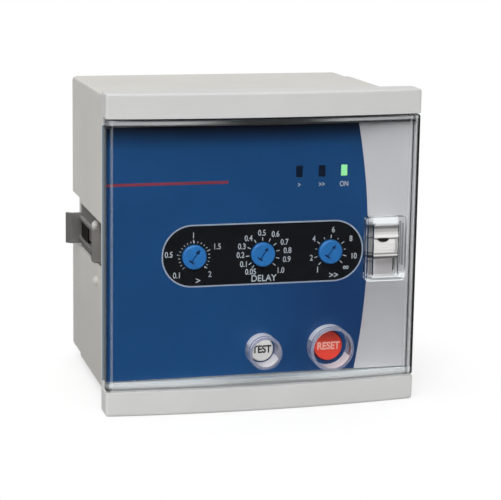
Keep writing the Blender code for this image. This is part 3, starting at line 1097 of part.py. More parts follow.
def make_terminals(shop):
    """Two terminal blocks on the rear board, each with a column of clamp screws."""
    front = REAR_BOARD_REAR + SEAT_GAP
    rear = RELAY_REAR - SEAT_GAP
    height = TERMINAL_HALF_HEIGHT
    floor = rear - TERMINAL_WELL_DEPTH
    top = floor + SEAT_GAP
    radius = SCREW_HEAD_DIAMETER / 2
    shank = SCREW_SHANK_DIAMETER / 2
    profile = [(0.0, SCREW_HEAD_HEIGHT), (radius * 0.7, SCREW_HEAD_HEIGHT), (radius, SCREW_HEAD_HEIGHT * 0.6),
               (radius, 0.0), (shank, 0.0), (shank, -SCREW_SHANK_LENGTH), (0.0, -SCREW_SHANK_LENGTH)]
    screw = turned(shop, profile, (0, 0, 0), REAR, 16)
    slot = 0.5 * MM
    levels = (SCREW_HEAD_HEIGHT * 0.45, SCREW_HEAD_HEIGHT + MM)
    cut(screw, box(shop, (-radius * 2, radius * 2), levels, (-slot, slot)),
        box(shop, (-slot, slot), levels, (-radius * 0.6, radius * 0.6)))
    number = 0
    for side, name in ((-1, "terminal_block_left"), (1, "terminal_block_right")):
        x = side * TERMINAL_X
        block = box(shop, (x - TERMINAL_WIDTH / 2, x + TERMINAL_WIDTH / 2), (front, rear),
                    (-height, height), 0.4 * MM, 1)
        cutters = []
        for index in range(TERMINAL_COLUMNS):
            z = ((TERMINAL_COLUMNS - 1) / 2 - index) * TERMINAL_PITCH
            well_half = TERMINAL_WELL / 2
            outside = sorted((x - side * well_half, x + side * TERMINAL_WIDTH))
            cutters.append(box(shop, outside, (floor, rear + MM), (z - well_half, z + well_half)))
            cutters.append(cylinder(shop, shank + SEAT_GAP, (x, floor + MM, z), FRONT,
                                    SCREW_SHANK_LENGTH + MM + SEAT_GAP, 12))
            number += 1
            copy = on_bench(shop, screw.data.copy())
            copy.data.transform(Matrix.Translation((x, top, z)))
            zinc = shop.finish("screw_zinc", "c3c4c2", 0.35, 1.0)
            hand_in(shop, copy, "terminal_screw_%02d" % number, zinc, (x, top, z))
        cut(block, *cutters)
        hand_in(shop, block, name, shop.finish("terminal_black", "232528", 0.5), (x, front, 0))
    bpy.data.objects.remove(screw, do_unlink=True)


def main():
    """Build the whole relay."""
    shop = Workshop()
    make_case_shell(shop)
    make_front_bezel(shop)
    make_rear_cover(shop)
    make_front_plate(shop)
    make_front_label(shop)
    cover = make_clear_cover(shop)
    make_cover_latch(shop, cover)
    make_hinge_pins(shop)
    make_button(shop, "test_button", knob_x(1), TEST_DIAMETER, "c9c8c6")
    make_button(shop, "reset_button", knob_x(2), RESET_DIAMETER, "d63c2c")
    for name, column, diameter in (("test", 1, TEST_DIAMETER), ("reset", 2, RESET_DIAMETER)):
        make_spring(shop, name + "_spring", knob_x(column), diameter)
        make_switch(shop, name + "_switch", knob_x(column))
    for index, name in enumerate(("pickup", "delay", "multiplier")):
        make_knob(shop, name + "_knob", knob_x(index))
        make_potentiometer(shop, name + "_potentiometer", knob_x(index))
    lamps = (("pickup_lamp", "0a1f38"), ("instant_lamp", "0a1f38"), ("supply_lamp", "9be58a"))
    for index, (name, colour) in enumerate(lamps):
        make_lamp(shop, name, lamp_x(index), colour)
    make_boards(shop)
    seat = FRONT_BOARD_REAR + SEAT_GAP
    make_header(shop, "front_header", seat, seat + HEADER_DEPTH)
    seat = REAR_BOARD_FRONT - SEAT_GAP
    make_header(shop, "rear_header", seat - HEADER_DEPTH, seat)
    make_main_board_parts(shop)
    make_terminals(shop)
    make_mounting_clip(shop, -1, "mounting_clip_left")
    make_mounting_clip(shop, 1, "mounting_clip_right")
    bpy.data.collections.remove(shop.bench)


if __name__ == "__main__":
    main()
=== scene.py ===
"""Looks of a flush-mounting earth-fault protection relay with a clear hinged cover.

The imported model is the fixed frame. Each visible moulding is a refined copy of its solid with soft
edges, the label's print is drawn in thin layers, and every other node gets its real finish.
"""

import json
import logging
import math
from dataclasses import dataclass
from enum import Enum
from typing import Iterable, Sequence

import bmesh
import bpy
from mathutils import Matrix, Vector

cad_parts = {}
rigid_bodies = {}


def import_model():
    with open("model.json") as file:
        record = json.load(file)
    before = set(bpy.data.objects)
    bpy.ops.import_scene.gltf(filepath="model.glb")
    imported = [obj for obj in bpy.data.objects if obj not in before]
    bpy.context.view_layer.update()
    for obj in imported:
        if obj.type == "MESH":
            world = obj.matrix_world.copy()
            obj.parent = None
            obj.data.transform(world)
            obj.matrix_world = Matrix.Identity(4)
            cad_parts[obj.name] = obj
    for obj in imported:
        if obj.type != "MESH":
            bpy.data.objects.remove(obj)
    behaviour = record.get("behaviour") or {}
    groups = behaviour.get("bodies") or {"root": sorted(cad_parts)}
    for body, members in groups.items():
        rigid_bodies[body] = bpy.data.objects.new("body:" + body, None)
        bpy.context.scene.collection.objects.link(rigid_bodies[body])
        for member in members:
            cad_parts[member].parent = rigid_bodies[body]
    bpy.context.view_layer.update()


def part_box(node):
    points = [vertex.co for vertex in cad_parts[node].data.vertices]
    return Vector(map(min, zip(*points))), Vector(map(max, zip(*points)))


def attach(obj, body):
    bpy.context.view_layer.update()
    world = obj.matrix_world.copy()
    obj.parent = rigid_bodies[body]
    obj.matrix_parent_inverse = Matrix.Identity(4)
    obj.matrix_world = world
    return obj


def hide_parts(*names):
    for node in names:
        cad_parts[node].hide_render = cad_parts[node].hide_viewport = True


log = logging.getLogger("relay")

MM = 0.001
BEZEL_CENTRE_Z = 48.0        # height of the bezel's centre above the floor, in mm
FRONT_DATUM_Y = -35.6        # the bezel's front corners in the model's frame, in mm
BEZEL_HALF = 48.0
BEZEL_BOW = 3.0              # the middle of the front stands this far before its ends
BOW_RADIUS = (BEZEL_HALF ** 2 + BEZEL_BOW ** 2) / (2 * BEZEL_BOW)
DOME_ROOT = 0.3              # how deep a dome is rooted in its wall, as a share of its rise
WELD_MM = 0.002              # corners of a solid that lie closer than this are one
FLAT_DEGREES = 0.3           # facets that meet at less than this are merged
SHARP_DEGREES = 34.0         # edges sharper than this are softened
ON_BOW_MM = 0.03             # a face's corners lie this close to the bow when it is bowed
FRONTAL = 0.9                # a bowed face's normal has at least this share along Y
NOISE_REACH = (0.3, 0.7)     # a noise texture mostly keeps between these values
CAPITAL_SHARE = 0.69         # height of the font's capitals as a share of its size
INK_MM = 0.01                # thickness of lettering and strokes

Outline = list[tuple[float, float]]
Tree = bpy.types.NodeTree
Node = bpy.types.Node
Socket = bpy.types.NodeSocket
Item = bpy.types.Object


def at(x: float, y: float, z: float) -> Vector:
    """Return a point given in mm from the bezel's centre as a point of the model in metres."""
    return Vector((x, y + FRONT_DATUM_Y, z + BEZEL_CENTRE_Z)) * MM


def local(point: Sequence[float]) -> tuple[float, float, float]:
    """Return a point of the model as X, Y and Z in mm from the bezel's centre and front corners."""
    return point[0] / MM, point[1] / MM - FRONT_DATUM_Y, point[2] / MM - BEZEL_CENTRE_Z


def middle(node: str) -> tuple[float, float]:
    """Return the middle of a solid as X and Z in mm from the bezel's centre."""
    low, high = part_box(node)
    return (low[0] + high[0]) / 2 / MM, (low[2] + high[2]) / 2 / MM - BEZEL_CENTRE_Z


def linear(colour: str) -> tuple[float, float, float, float]:
    """Turn an sRGB hex colour into Blender's linear values.

    Args:
        colour: Six hex digits.

    Returns:
        Red, green, blue and an alpha of one.
    """
    channels = [int(colour[i:i + 2], 16) / 255.0 for i in (0, 2, 4)]
    r, g, b = (v / 12.92 if v <= 0.04045 else ((v + 0.055) / 1.055) ** 2.4 for v in channels)
    return r, g, b, 1.0


def add_node(tree: Tree, kind: str, settings: dict[str, object] | None = None,
             inputs: dict[str | int, object] | None = None) -> Node:
    """Add a node, with its settings, input values and links.

    Args:
        tree: The node tree to add to.
        kind: The node's type name.
        settings: Property values by property name.
        inputs: Values or sockets to link from, by the name or place of the input.

    Returns:
        The new node.
    """
    node = tree.nodes.new(kind)
    for name, value in (settings or {}).items():
        setattr(node, name, value)
    for name, value in (inputs or {}).items():
        if isinstance(value, Socket):
            tree.links.new(value, node.inputs[name])
        else:
            node.inputs[name].default_value = value
    return node


def bow(x: float) -> float:
    """Return how far the bezel's bowed face lies behind its front corners at X, in mm."""
    return BOW_RADIUS - BEZEL_BOW - math.sqrt(BOW_RADIUS ** 2 - x ** 2)


def per_metre(size_mm: float) -> float:
    """Return the texture scale at which a pattern repeats about every so many mm."""
    return 1.0 / (size_mm * MM)


class Slot(Enum):
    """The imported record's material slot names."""

    CASE = "case_plastic"
    BEZEL = "bezel_plastic"
    CLEAR = "clear_plastic"
    LATCH = "latch_plastic"
    LABEL = "label_print"
    TEST = "test_plastic"
    RESET = "reset_plastic"
    KNOB = "knob_plastic"
    LAMP_OFF = "lamp_off"
    LAMP_GREEN = "lamp_green"
    CLIP = "clip_steel"
    SCREW = "screw_zinc"
    TERMINAL = "terminal_plastic"


class Finish:
    """A surface finish. Each kind builds its material once and then hands out the same one."""

    name: str

    def material(self) -> bpy.types.Material:
        """Return this finish's material, built at its first use."""
        found = bpy.data.materials.get(self.name)
        if found is not None:
            return found
        material = bpy.data.materials.new(self.name)
        material.use_nodes = True
        tree = material.node_tree
        self.shade(tree, tree.nodes["Principled BSDF"])
        return material

    def shade(self, tree: Tree, shader: Node) -> None:
        """Add this finish's nodes to its tree."""
        raise NotImplementedError


def set_inputs(shader: Node, **values: object) -> None:
    """Set a shader's own sockets, named with underscores for spaces."""
    for name, value in values.items():
        shader.inputs[name.replace("_", " ")].default_value = value


def object_place(tree: Tree) -> Socket:
    """Return where in the model a point of the surface lies."""
    return add_node(tree, "ShaderNodeTexCoord").outputs["Object"]


def split(tree: Tree, vector: Socket) -> Node:
    """Return a node whose outputs X, Y and Z are a vector's."""
    return add_node(tree, "ShaderNodeSeparateXYZ", {}, {"Vector": vector})


def calculate(tree: Tree, operation: str, first: object, second: object = 0.0) -> Socket:
    """Return the result of an operation on one or two values or sockets."""
    return add_node(tree, "ShaderNodeMath", {"operation": operation}, {0: first, 1: second}).outputs["Value"]


def remap(tree: Tree, value: Socket, start: float, end: float,
          low: object, high: object, smooth: bool = False) -> Socket:
    """Return a value carried over from one range to another, and held at its ends.

    Args:
        tree: The node tree to add to.
        value: The value.
        start: Where the value's range starts.
        end: Where it ends.
        low: The result at the start.
        high: The result at the end.
        smooth: Whether the result leaves and meets its ends gently.

    Returns:
        The result's output.
    """
    kind = "SMOOTHSTEP" if smooth else "LINEAR"
    return add_node(tree, "ShaderNodeMapRange", {"interpolation_type": kind}, {
        "Value": value, "From Min": start, "From Max": end, "To Min": low, "To Max": high}).outputs["Result"]


def blend(tree: Tree, share: object, first: object, second: object,
          kind: str = "MIX") -> Socket:
    """Return two colours blended, with the second one's share."""
    return add_node(tree, "ShaderNodeMix", {"data_type": "RGBA", "blend_type": kind}, {
        "Factor": share, 6: first, 7: second}).outputs[2]


def mottled(tree: Tree, colour: str, spread: float, size_mm: float) -> Socket:
    """Return a colour that varies a little over the surface.

    Args:
        tree: The node tree to add to.
        colour: The middle colour, as sRGB hex.
        spread: How far the value moves either way, as a share.
        size_mm: About how wide the lighter and darker areas are.

    Returns:
        The colour output.
    """
    noise = add_node(tree, "ShaderNodeTexNoise", {}, {
        "Vector": object_place(tree), "Scale": per_metre(size_mm), "Detail": 3.0})
    value = remap(tree, noise.outputs["Fac"], *NOISE_REACH, 1.0 - spread, 1.0 + spread)
    tint = add_node(tree, "ShaderNodeHueSaturation", {}, {"Value": value, "Color": linear(colour)})
    return tint.outputs["Color"]


def grain(tree: Tree, size_mm: float, depth_mm: float,
          stretch: Sequence[float] = (1.0, 1.0, 1.0)) -> Socket:
    """Return a normal with a fine random grain.

    Args:
        tree: The node tree to add to.
        size_mm: The grain's width.
        depth_mm: The grain's depth.
        stretch: How much finer the grain is along each axis.

    Returns:
        The normal output.
    """
    mapping = add_node(tree, "ShaderNodeMapping", {}, {"Vector": object_place(tree), "Scale": stretch})
    noise = add_node(tree, "ShaderNodeTexNoise", {}, {
        "Vector": mapping.outputs["Vector"], "Scale": per_metre(size_mm), "Detail": 4.0, "Roughness": 0.6})
    bump = add_node(tree, "ShaderNodeBump", {}, {
        "Height": noise.outputs["Fac"], "Distance": depth_mm * MM, "Strength": 1.0})
    return bump.outputs["Normal"]


def fade_down(tree: Tree, colour: Socket,
              painted_shade_rows: Sequence[tuple[float, float]]) -> Socket:
    """Return a colour with painted shade that grows darker or lighter down the front.

    Args:
        tree: The node tree to add to.
        colour: The colour to fade.
        painted_shade_rows: From the lowest up, heights in mm from the bezel's centre with the colour's share there.

    Returns:
        The faded colour's output.
    """
    height = split(tree, object_place(tree)).outputs["Z"]
    ramp = add_node(tree, "ShaderNodeValToRGB", {}, {
        "Fac": remap(tree, height, 0.0, 2 * BEZEL_CENTRE_Z * MM, 0.0, 1.0)})
    stops = ramp.color_ramp.elements
    while len(stops) < len(painted_shade_rows):
        stops.new(1.0)
    for stop, (z, share) in zip(stops, painted_shade_rows):
        stop.position = (z + BEZEL_CENTRE_Z) / (2 * BEZEL_CENTRE_Z)
        stop.color = (share, share, share, 1.0)
    return blend(tree, 1.0, colour, ramp.outputs["Color"], "MULTIPLY")


@dataclass(frozen=True)
class MouldedPlastic(Finish):
    """Injection-moulded ABS or polycarbonate with a spark-eroded grain.

    The eye sees a soft even sheen broken by a fine grain, with faint flow shading over larger areas.
    The real grain is about 0.1 mm, drawn coarser here so that it shows at all.
    """

    name: str
    colour: str
    roughness: float = 0.45
    grain_mm: float = 0.5
    grain_depth_mm: float = 0.012
    shading: float = 0.025
    ior: float = 1.54
    # painted shade down the front, as heights in mm with the colour's share there
    painted_shade_rows: tuple[tuple[float, float], ...] = ()

    def shade(self, tree: Tree, shader: Node) -> None:
        """Add the flow shading, any painted shade down the front, the grain and the sheen."""
        set_inputs(shader, Roughness=self.roughness, IOR=self.ior)
        colour = mottled(tree, self.colour, self.shading, 22.0)
        if self.painted_shade_rows:
            colour = fade_down(tree, colour, self.painted_shade_rows)
        tree.links.new(colour, shader.inputs["Base Color"])
        tree.links.new(grain(tree, self.grain_mm, self.grain_depth_mm), shader.inputs["Normal"])


@dataclass(frozen=True)
class ClearPolycarbonate(Finish):
    """Clear polycarbonate from a polished mould.

    The eye sees straight through it, with bright lines where its thick edges gather light and a very
    slight ripple from the flow of the melt.
    """

    name: str
    colour: str
    roughness: float
    ripple_mm: float = 9.0
    ripple_depth_mm: float = 0.004
    ior: float = 1.585
    transmission: float = 1.0

    def shade(self, tree: Tree, shader: Node) -> None:
        """Add the ripple and the clear body."""
        set_inputs(shader, Base_Color=linear(self.colour), Roughness=self.roughness, IOR=self.ior,
                   Transmission_Weight=self.transmission)
        tree.links.new(grain(tree, self.ripple_mm, self.ripple_depth_mm), shader.inputs["Normal"])


@dataclass(frozen=True)
class Zone:
    """A box in X and Z, in mm from the bezel's centre, where a clear moulding is painted darker (painted shade) and
    milkier (painted highlight).
    """

    x: float
    x_half: float
    z: float
    z_half: float
    # tint is painted shade, the colour's share inside the zone; the field after it is a painted highlight, the
    # share of the clear body turned milky
    tint: float = 1.0
    painted_highlight: float = 0.0
    soft: float = 0.25


EVERYWHERE = 99.0


@dataclass(frozen=True)
class ZonedPolycarbonate(ClearPolycarbonate):
    """Clear polycarbonate with painted shade and painted highlights in zones along its walls and steps.

    The zones paint the dark and light lines along the walls that light running a long way through them would make.
    """

    zones: tuple[Zone, ...] = ()

    def mask(self, tree: Tree, axes: Node, zone: Zone) -> Socket:
        """Return one inside a zone and nothing outside it, with a soft border.

        Args:
            tree: The node tree to add to.
            axes: The node that gives the surface's X and Z.
            zone: The zone.

        Returns:
            The mask's output.
        """
        inside = None
        for axis, middle_mm, half in (("X", zone.x, zone.x_half),
                                      ("Z", zone.z + BEZEL_CENTRE_Z, zone.z_half)):
            if half == EVERYWHERE:
                continue
            soft = min(zone.soft, half * 0.5)
            away = calculate(tree, "SUBTRACT", axes.outputs[axis], middle_mm * MM)
            away = calculate(tree, "ABSOLUTE", away)
            step = remap(tree, away, (half - soft) * MM, (half + soft) * MM, 1.0, 0.0, True)
            inside = step if inside is None else calculate(tree, "MULTIPLY", inside, step)
        return inside

    def shade(self, tree: Tree, shader: Node) -> None:
        """Add the clear body, then its zones of painted shade and painted highlights."""
        super().shade(tree, shader)
        axes = split(tree, object_place(tree))
        tint: object = 1.0
        body: object = self.transmission
        # Each zone's tint paints shade into the colour, and its painted highlight takes share from the clear body.
        for zone in self.zones:
            inside = self.mask(tree, axes, zone)
            if zone.tint < 1.0:
                tint = calculate(tree, "MULTIPLY", tint, remap(tree, inside, 0.0, 1.0, 1.0, zone.tint))
            if zone.painted_highlight > 0.0:
                body = calculate(tree, "MULTIPLY", body, remap(tree, inside, 0.0, 1.0, 1.0, 1.0 - zone.painted_highlight))
        colour = add_node(tree, "ShaderNodeVectorMath", {"operation": "SCALE"}, {
            0: linear(self.colour)[:3], "Scale": tint})
        tree.links.new(colour.outputs["Vector"], shader.inputs["Base Color"])
        if isinstance(body, Socket):
            tree.links.new(body, shader.inputs["Transmission Weight"])


@dataclass(frozen=True)
class PrintedFilm(Finish):
    """Screen-printed ink on polyester film, with the film's soft satin face.

    The eye sees one even colour with a slight cloudiness where the ink lies thinner.
    """

    name: str
    colour: str
    roughness: float = 0.42
    cloud: float = 0.03
    metallic: float = 0.0

    def shade(self, tree: Tree, shader: Node) -> None:
        """Add the ink's colour and the film's fine orange peel."""
        set_inputs(shader, Roughness=self.roughness, Metallic=self.metallic, Specular_IOR_Level=0.3)
        tree.links.new(mottled(tree, self.colour, self.cloud, 14.0), shader.inputs["Base Color"])
        tree.links.new(grain(tree, 0.6, 0.003), shader.inputs["Normal"])


@dataclass(frozen=True)
class ShadedFilm(PrintedFilm):
    """Ink field with painted shade down the front, and with a tint in its lower right part.

    The painted shadow sinks the field into shade below the upper strip of the bezel.
    """

    # painted shadow below the upper strip of the bezel
    painted_shade_rows: tuple[tuple[float, float], ...] = ((31.0, 1.0), (38.0, 0.03))
    across: tuple[float, float] = (-10.0, 25.0)
    down: tuple[float, float] = (25.0, -15.0)
    far_tint: str = "ffffff"

    def shade(self, tree: Tree, shader: Node) -> None:
        """Lay the tint and the painted shade over the ink's colour."""
        super().shade(tree, shader)
        ink = shader.inputs["Base Color"].links[0].from_socket
        axes = split(tree, object_place(tree))
        ways = (("X", self.across, 0.0), ("Z", self.down, BEZEL_CENTRE_Z))
        right, lower = (remap(tree, axes.outputs[axis], (start + centre) * MM, (end + centre) * MM, 0.0, 1.0, True)
                        for axis, (start, end), centre in ways)
        far = calculate(tree, "MULTIPLY", right, lower)
        tinted = blend(tree, far, ink, linear(self.far_tint), "MULTIPLY")
        tree.links.new(fade_down(tree, tinted, self.painted_shade_rows), shader.inputs["Base Color"])


@dataclass(frozen=True)
class RolledSteel(Finish):
    """Spring steel or drawn steel with fine rolling marks along Y.

    The eye sees a soft grey metal sheen with long thin streaks.
    """

    name: str
    colour: str
    roughness: float
    streak_mm: float = 0.35
    streak_depth_mm: float = 0.004

    def shade(self, tree: Tree, shader: Node) -> None:
        """Add the metal and its streaks."""
        set_inputs(shader, Roughness=self.roughness, Metallic=1.0)
        tree.links.new(mottled(tree, self.colour, 0.07, 5.0), shader.inputs["Base Color"])
        streaks = grain(tree, self.streak_mm, self.streak_depth_mm, (1.0, 0.06, 1.0))
        tree.links.new(streaks, shader.inputs["Normal"])


@dataclass(frozen=True)
class LampLens(Finish):
    """Diffused lamp lens, with a glow of its own where it is lit."""

    name: str
    colour: str
    glow: float = 0.0

    def shade(self, tree: Tree, shader: Node) -> None:
        """Add the lens colour and its glow."""
        set_inputs(shader, Roughness=0.3, Emission_Color=linear(self.colour), Emission_Strength=self.glow)
        tree.links.new(mottled(tree, self.colour, 0.05, 1.5), shader.inputs["Base Color"])


@dataclass(frozen=True)
class BandedMaterial(Finish):
    """A material made of thin layers or turns: stacked laminations, or tape wound on a coil.

    The eye sees fine parallel lines, lighter and darker by turns.
    """

    name: str
    light: str
    dark: str
    pitch_mm: float
    roughness: float
    metallic: float
    direction: str
    waver: float = 0.4

    def shade(self, tree: Tree, shader: Node) -> None:
        """Add the bands."""
        set_inputs(shader, Roughness=self.roughness, Metallic=self.metallic)
        # At a scale of one, a wave texture's bands lie pi / 10 units apart.
        wave = add_node(tree, "ShaderNodeTexWave", {"bands_direction": self.direction}, {
            "Vector": object_place(tree), "Scale": per_metre(self.pitch_mm) * math.pi / 10.0,
            "Distortion": self.waver})
        colour = blend(tree, wave.outputs["Fac"], linear(self.dark), linear(self.light))
        tree.links.new(colour, shader.inputs["Base Color"])


@dataclass(frozen=True)
class BoardLaminate(Finish):
    """Glass-fibre laminate under green solder mask, with the tracks showing through it paler."""

    name: str
    mask: str
    track: str
    cell_mm: float = 3.0
    track_half: float = 0.05

    def shade(self, tree: Tree, shader: Node) -> None:
        """Add the mask and the tracks below it."""
        set_inputs(shader, Roughness=0.35)
        kind = {"feature": "DISTANCE_TO_EDGE", "distance": "EUCLIDEAN"}
        cells = add_node(tree, "ShaderNodeTexVoronoi", kind, {
            "Vector": object_place(tree), "Scale": per_metre(self.cell_mm)})
        line = calculate(tree, "LESS_THAN", cells.outputs["Distance"], self.track_half)
        tree.links.new(blend(tree, line, linear(self.mask), linear(self.track)), shader.inputs["Base Color"])


# Painted shade: the case grey is painted darker towards the bottom.
CASE_GREY = MouldedPlastic("case_grey_abs", "bfbdb8", 0.5, painted_shade_rows=((-25.0, 0.87), (12.0, 1.0)))
# Painted shade: the bezel grey is painted a little darker on its top strip.
BEZEL_GREY = MouldedPlastic("bezel_grey_abs", "c7c7c6", 0.42, painted_shade_rows=((30.0, 1.0), (40.0, 0.94)))
# Painted shade: a darker blue-grey copy of the bezel grey for the flange beside the clear cover's side.
FLANGE_PAINTED_SHADE = MouldedPlastic("bezel_grey_abs_painted_shade", "76838d", 0.42)
# Zones of painted shade and painted highlights on the clear cover's walls and frame bars.
SIDE_WALL_PAINTED_LIGHT = (Zone(47.65, 0.7, 0.0, EVERYWHERE, 0.12), Zone(45.75, 0.5, 0.0, EVERYWHERE, 0.5),
              Zone(46.65, 0.3, 0.0, EVERYWHERE, 1.0, 0.25), Zone(44.9, 0.3, 0.0, EVERYWHERE, 1.0, 0.12),
              Zone(-46.05, 0.2, 0.0, EVERYWHERE, 1.0, 0.12), Zone(-47.75, 0.8, 0.0, EVERYWHERE, 0.45))
END_WALL_PAINTED_LIGHT = (Zone(-42.0, 24.0, 39.3, 0.5, 1.0, 0.35, 11.0), Zone(38.0, 20.0, 39.4, 0.4, 1.0, 0.35, 9.0),
             Zone(-44.0, 30.0, -38.6, 0.8, 1.0, 0.35, 14.0), Zone(40.0, 26.0, -38.6, 0.8, 1.0, 0.35, 12.0),
             Zone(0.0, EVERYWHERE, -38.4, 0.4, 1.0, 0.2), Zone(0.0, EVERYWHERE, -40.0, 0.55, 0.7))
FRAME_BAR_PAINTED_LIGHT = (Zone(36.6, 4.0, 8.7, 1.0, 1.0, 0.7), Zone(37.2, 4.4, -8.35, 0.35, 1.0, 0.8),
              Zone(37.2, 5.2, -9.1, 0.25, 0.4), Zone(37.4, 5.8, -9.7, 0.25, 1.0, 0.75),
              Zone(42.3, 0.9, -8.2, 0.9, 1.0, 0.75), Zone(32.6, 1.0, 0.0, 8.0, 0.45),
              Zone(42.2, 0.35, 1.5, 6.5, 0.35))
# Painted shade: dark lines on the latch above its top, at its step and below it.
PAD_STEP_PAINTED_SHADE = (Zone(37.2, 6.0, 6.55, 0.6, 0.22), Zone(37.2, 6.0, 5.55, 0.4, 0.5), Zone(37.2, 6.0, 4.8, 0.4, 0.75),
             Zone(37.2, 6.0, 3.15, 0.22, 0.35), Zone(37.2, 6.0, -1.5, 0.25, 0.4), Zone(37.2, 6.0, -2.65, 0.5, 0.15),
             Zone(40.6, 0.6, 0.8, 2.0, 0.55))
CLEAR_COVER = ZonedPolycarbonate("clear_polycarbonate", "f4f8fa", 0.0, 14.0, 0.001,
                                 zones=SIDE_WALL_PAINTED_LIGHT + END_WALL_PAINTED_LIGHT + FRAME_BAR_PAINTED_LIGHT)
MILKY_WALL = ClearPolycarbonate("milky_polycarbonate", "e6e4ee", 0.06, 3.0, 0.004, 1.585, 0.84)
# Painted light: a brighter copy of the milky wall for the well faces that face up.
UPWARD_WALL_PAINTED_LIGHT = ClearPolycarbonate("milky_polycarbonate_painted_light", "faf8fc", 0.1, 3.0, 0.004, 1.585, 0.35)
FROSTED_LATCH = ZonedPolycarbonate("frosted_polycarbonate", "fbfaf8", 0.12, 2.0, 0.006, 1.585, 0.25, PAD_STEP_PAINTED_SHADE)
# The blue ink carries a painted shadow below the upper strip of the bezel.
INK_BLUE = ShadedFilm("ink_blue_film", "194c80", far_tint="edd3dd")
# The silver ink carries painted shade: darker in its lower part, and a painted shadow below the upper strip.
INK_SILVER = ShadedFilm("ink_silver_film", "dbd7d8", 0.4, 0.02,
                        painted_shade_rows=((-36.0, 0.95), (-19.0, 0.77), (-13.5, 0.76), (-9.0, 0.97), (4.0, 1.0),
                              (36.8, 1.0), (38.0, 0.5)))
INK_BLACK = PrintedFilm("ink_black_film", "0d0f14", 0.4)
INK_OUTLINE = PrintedFilm("ink_pale_blue_film", "aab4c4")
INK_WHITE = PrintedFilm("ink_white_film", "c9ced4")
INK_RED = PrintedFilm("ink_red_film", "8c3b4c")
INK_DARK = PrintedFilm("ink_dark_pad_print", "111215")
INK_ROSE = PrintedFilm("ink_pale_rose_print", "e3a596")
KNOB_BLUE = MouldedPlastic("knob_blue_nylon", "2b78bf", 0.38, 0.6, 0.006)
# Painted shade for the bottom of the knobs' arrow slots.
KNOB_SLOT_SHADE = MouldedPlastic("knob_slot_shadow_blue", "10305a", 0.6, 0.6, 0.006)
BUTTON_GREY = MouldedPlastic("button_light_grey_abs", "cfcecb", 0.32, 0.6, 0.004)
# The red button carries painted shade: its upper part is painted darker, as the shadow of its well.
BUTTON_RED = MouldedPlastic("button_red_abs", "e2402f", 0.3, 0.6, 0.004,
                            painted_shade_rows=((-33.0, 1.0), (-30.0, 0.85), (-28.0, 0.5), (-26.0, 0.3)))
LENS_DARK = LampLens("lens_smoked", "0a1a30")
# Painted shade for the latch's finger dent.
DENT_SHADE = MouldedPlastic("dent_shadow_black", "0b0b0c", 0.7)
LENS_GREEN = LampLens("lens_green_lit", "8fdc98", 0.55)
SPRING_STEEL = RolledSteel("steel_passivated_spring", "a9a8a6", 0.55)
# Painted shade: dark sheets behind and beside the clips' windows.
WINDOW_SHADE_STEEL = RolledSteel("steel_dark_painted_shade", "2a2725", 0.6)
TONGUE_STEEL = RolledSteel("steel_spring_tongue", "8d8680", 0.6)
BRIGHT_STEEL = RolledSteel("steel_bright_drawn", "b9bbbd", 0.28, 0.2, 0.002)
ZINC_STEEL = RolledSteel("steel_zinc_plated", "c2c4c3", 0.32, 0.25, 0.003)
PLATE_DARK = MouldedPlastic("plate_dark_abs", "2a2d33", 0.6)
TERMINAL_BLACK = MouldedPlastic("terminal_black_polyamide", "1d1f22", 0.5, 0.5, 0.01)
PART_BLACK = MouldedPlastic("component_black_epoxy", "202124", 0.45, 0.4, 0.006)
PART_BLUE = MouldedPlastic("component_blue_sleeve", "22507e", 0.4, 0.6, 0.004)
CORE_STEEL = BandedMaterial("core_laminations", "6a6c6f", "3c3e41", 0.5, 0.5, 0.8, "Y")
WINDING_TAPE = BandedMaterial("winding_tape", "c08c38", "9c6c22", 1.6, 0.45, 0.0, "Z")
BOARD_GREEN = BoardLaminate("board_green_laminate", "1b5236", "2c7a52")


def enter(item: Item) -> Item:
    """Put an object into the scene."""
    bpy.context.scene.collection.objects.link(item)
    return item


def drawn_mesh(name: str, shape: bmesh.types.BMesh) -> bpy.types.Mesh:
    """Turn a drawn shape into a mesh."""
    mesh = bpy.data.meshes.new(name)
    shape.to_mesh(mesh)
    shape.free()
    return mesh


def link(name: str, mesh: bpy.types.Mesh, finish: Finish) -> Item:
    """Put a mesh into the scene as a piece with its finish."""
    mesh.materials.clear()
    mesh.materials.append(finish.material())
    return enter(bpy.data.objects.new(name, mesh))


def place(piece: Item, body: str) -> Item:
    """Let a piece ride on a body and report it."""
    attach(piece, body)
    log.info("%s rides on %s", piece.name, body)
    return piece


def refine(node: str, body: str, finish: Finish, edge_mm: float,
           segments: int = 2) -> Item:
    """Stand a refined copy in for a solid: its facets merged, its sharp edges softened.

    Args:
        node: The solid's name.
        body: The body that it moves with.
        finish: The copy's finish.
        edge_mm: The radius of the softened edges.
        segments: The number of facets across each softened edge.

    Returns:
        The copy.
    """
    shape = bmesh.new()
    shape.from_mesh(bpy.data.objects[node].data)
    bmesh.ops.remove_doubles(shape, verts=shape.verts, dist=WELD_MM * MM)
    bmesh.ops.dissolve_limit(shape, angle_limit=math.radians(FLAT_DEGREES), verts=shape.verts, edges=shape.edges)
    mesh = drawn_mesh(node + "_refined", shape)
    mesh.shade_smooth()
    piece = link(node + "_refined", mesh, finish)
    soften = piece.modifiers.new("soft_edges", "BEVEL")
    soften.width = edge_mm * MM
    soften.segments = segments
    soften.limit_method = "ANGLE"
    soften.angle_limit = math.radians(SHARP_DEGREES)
    soften.harden_normals = True
    soften.use_clamp_overlap = True
    soften.miter_outer = "MITER_ARC"
    flatten = piece.modifiers.new("flat_faces", "WEIGHTED_NORMAL")
    flatten.mode = "FACE_AREA"
    flatten.weight = 100
    place(piece, body)
    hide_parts(node)
    return piece


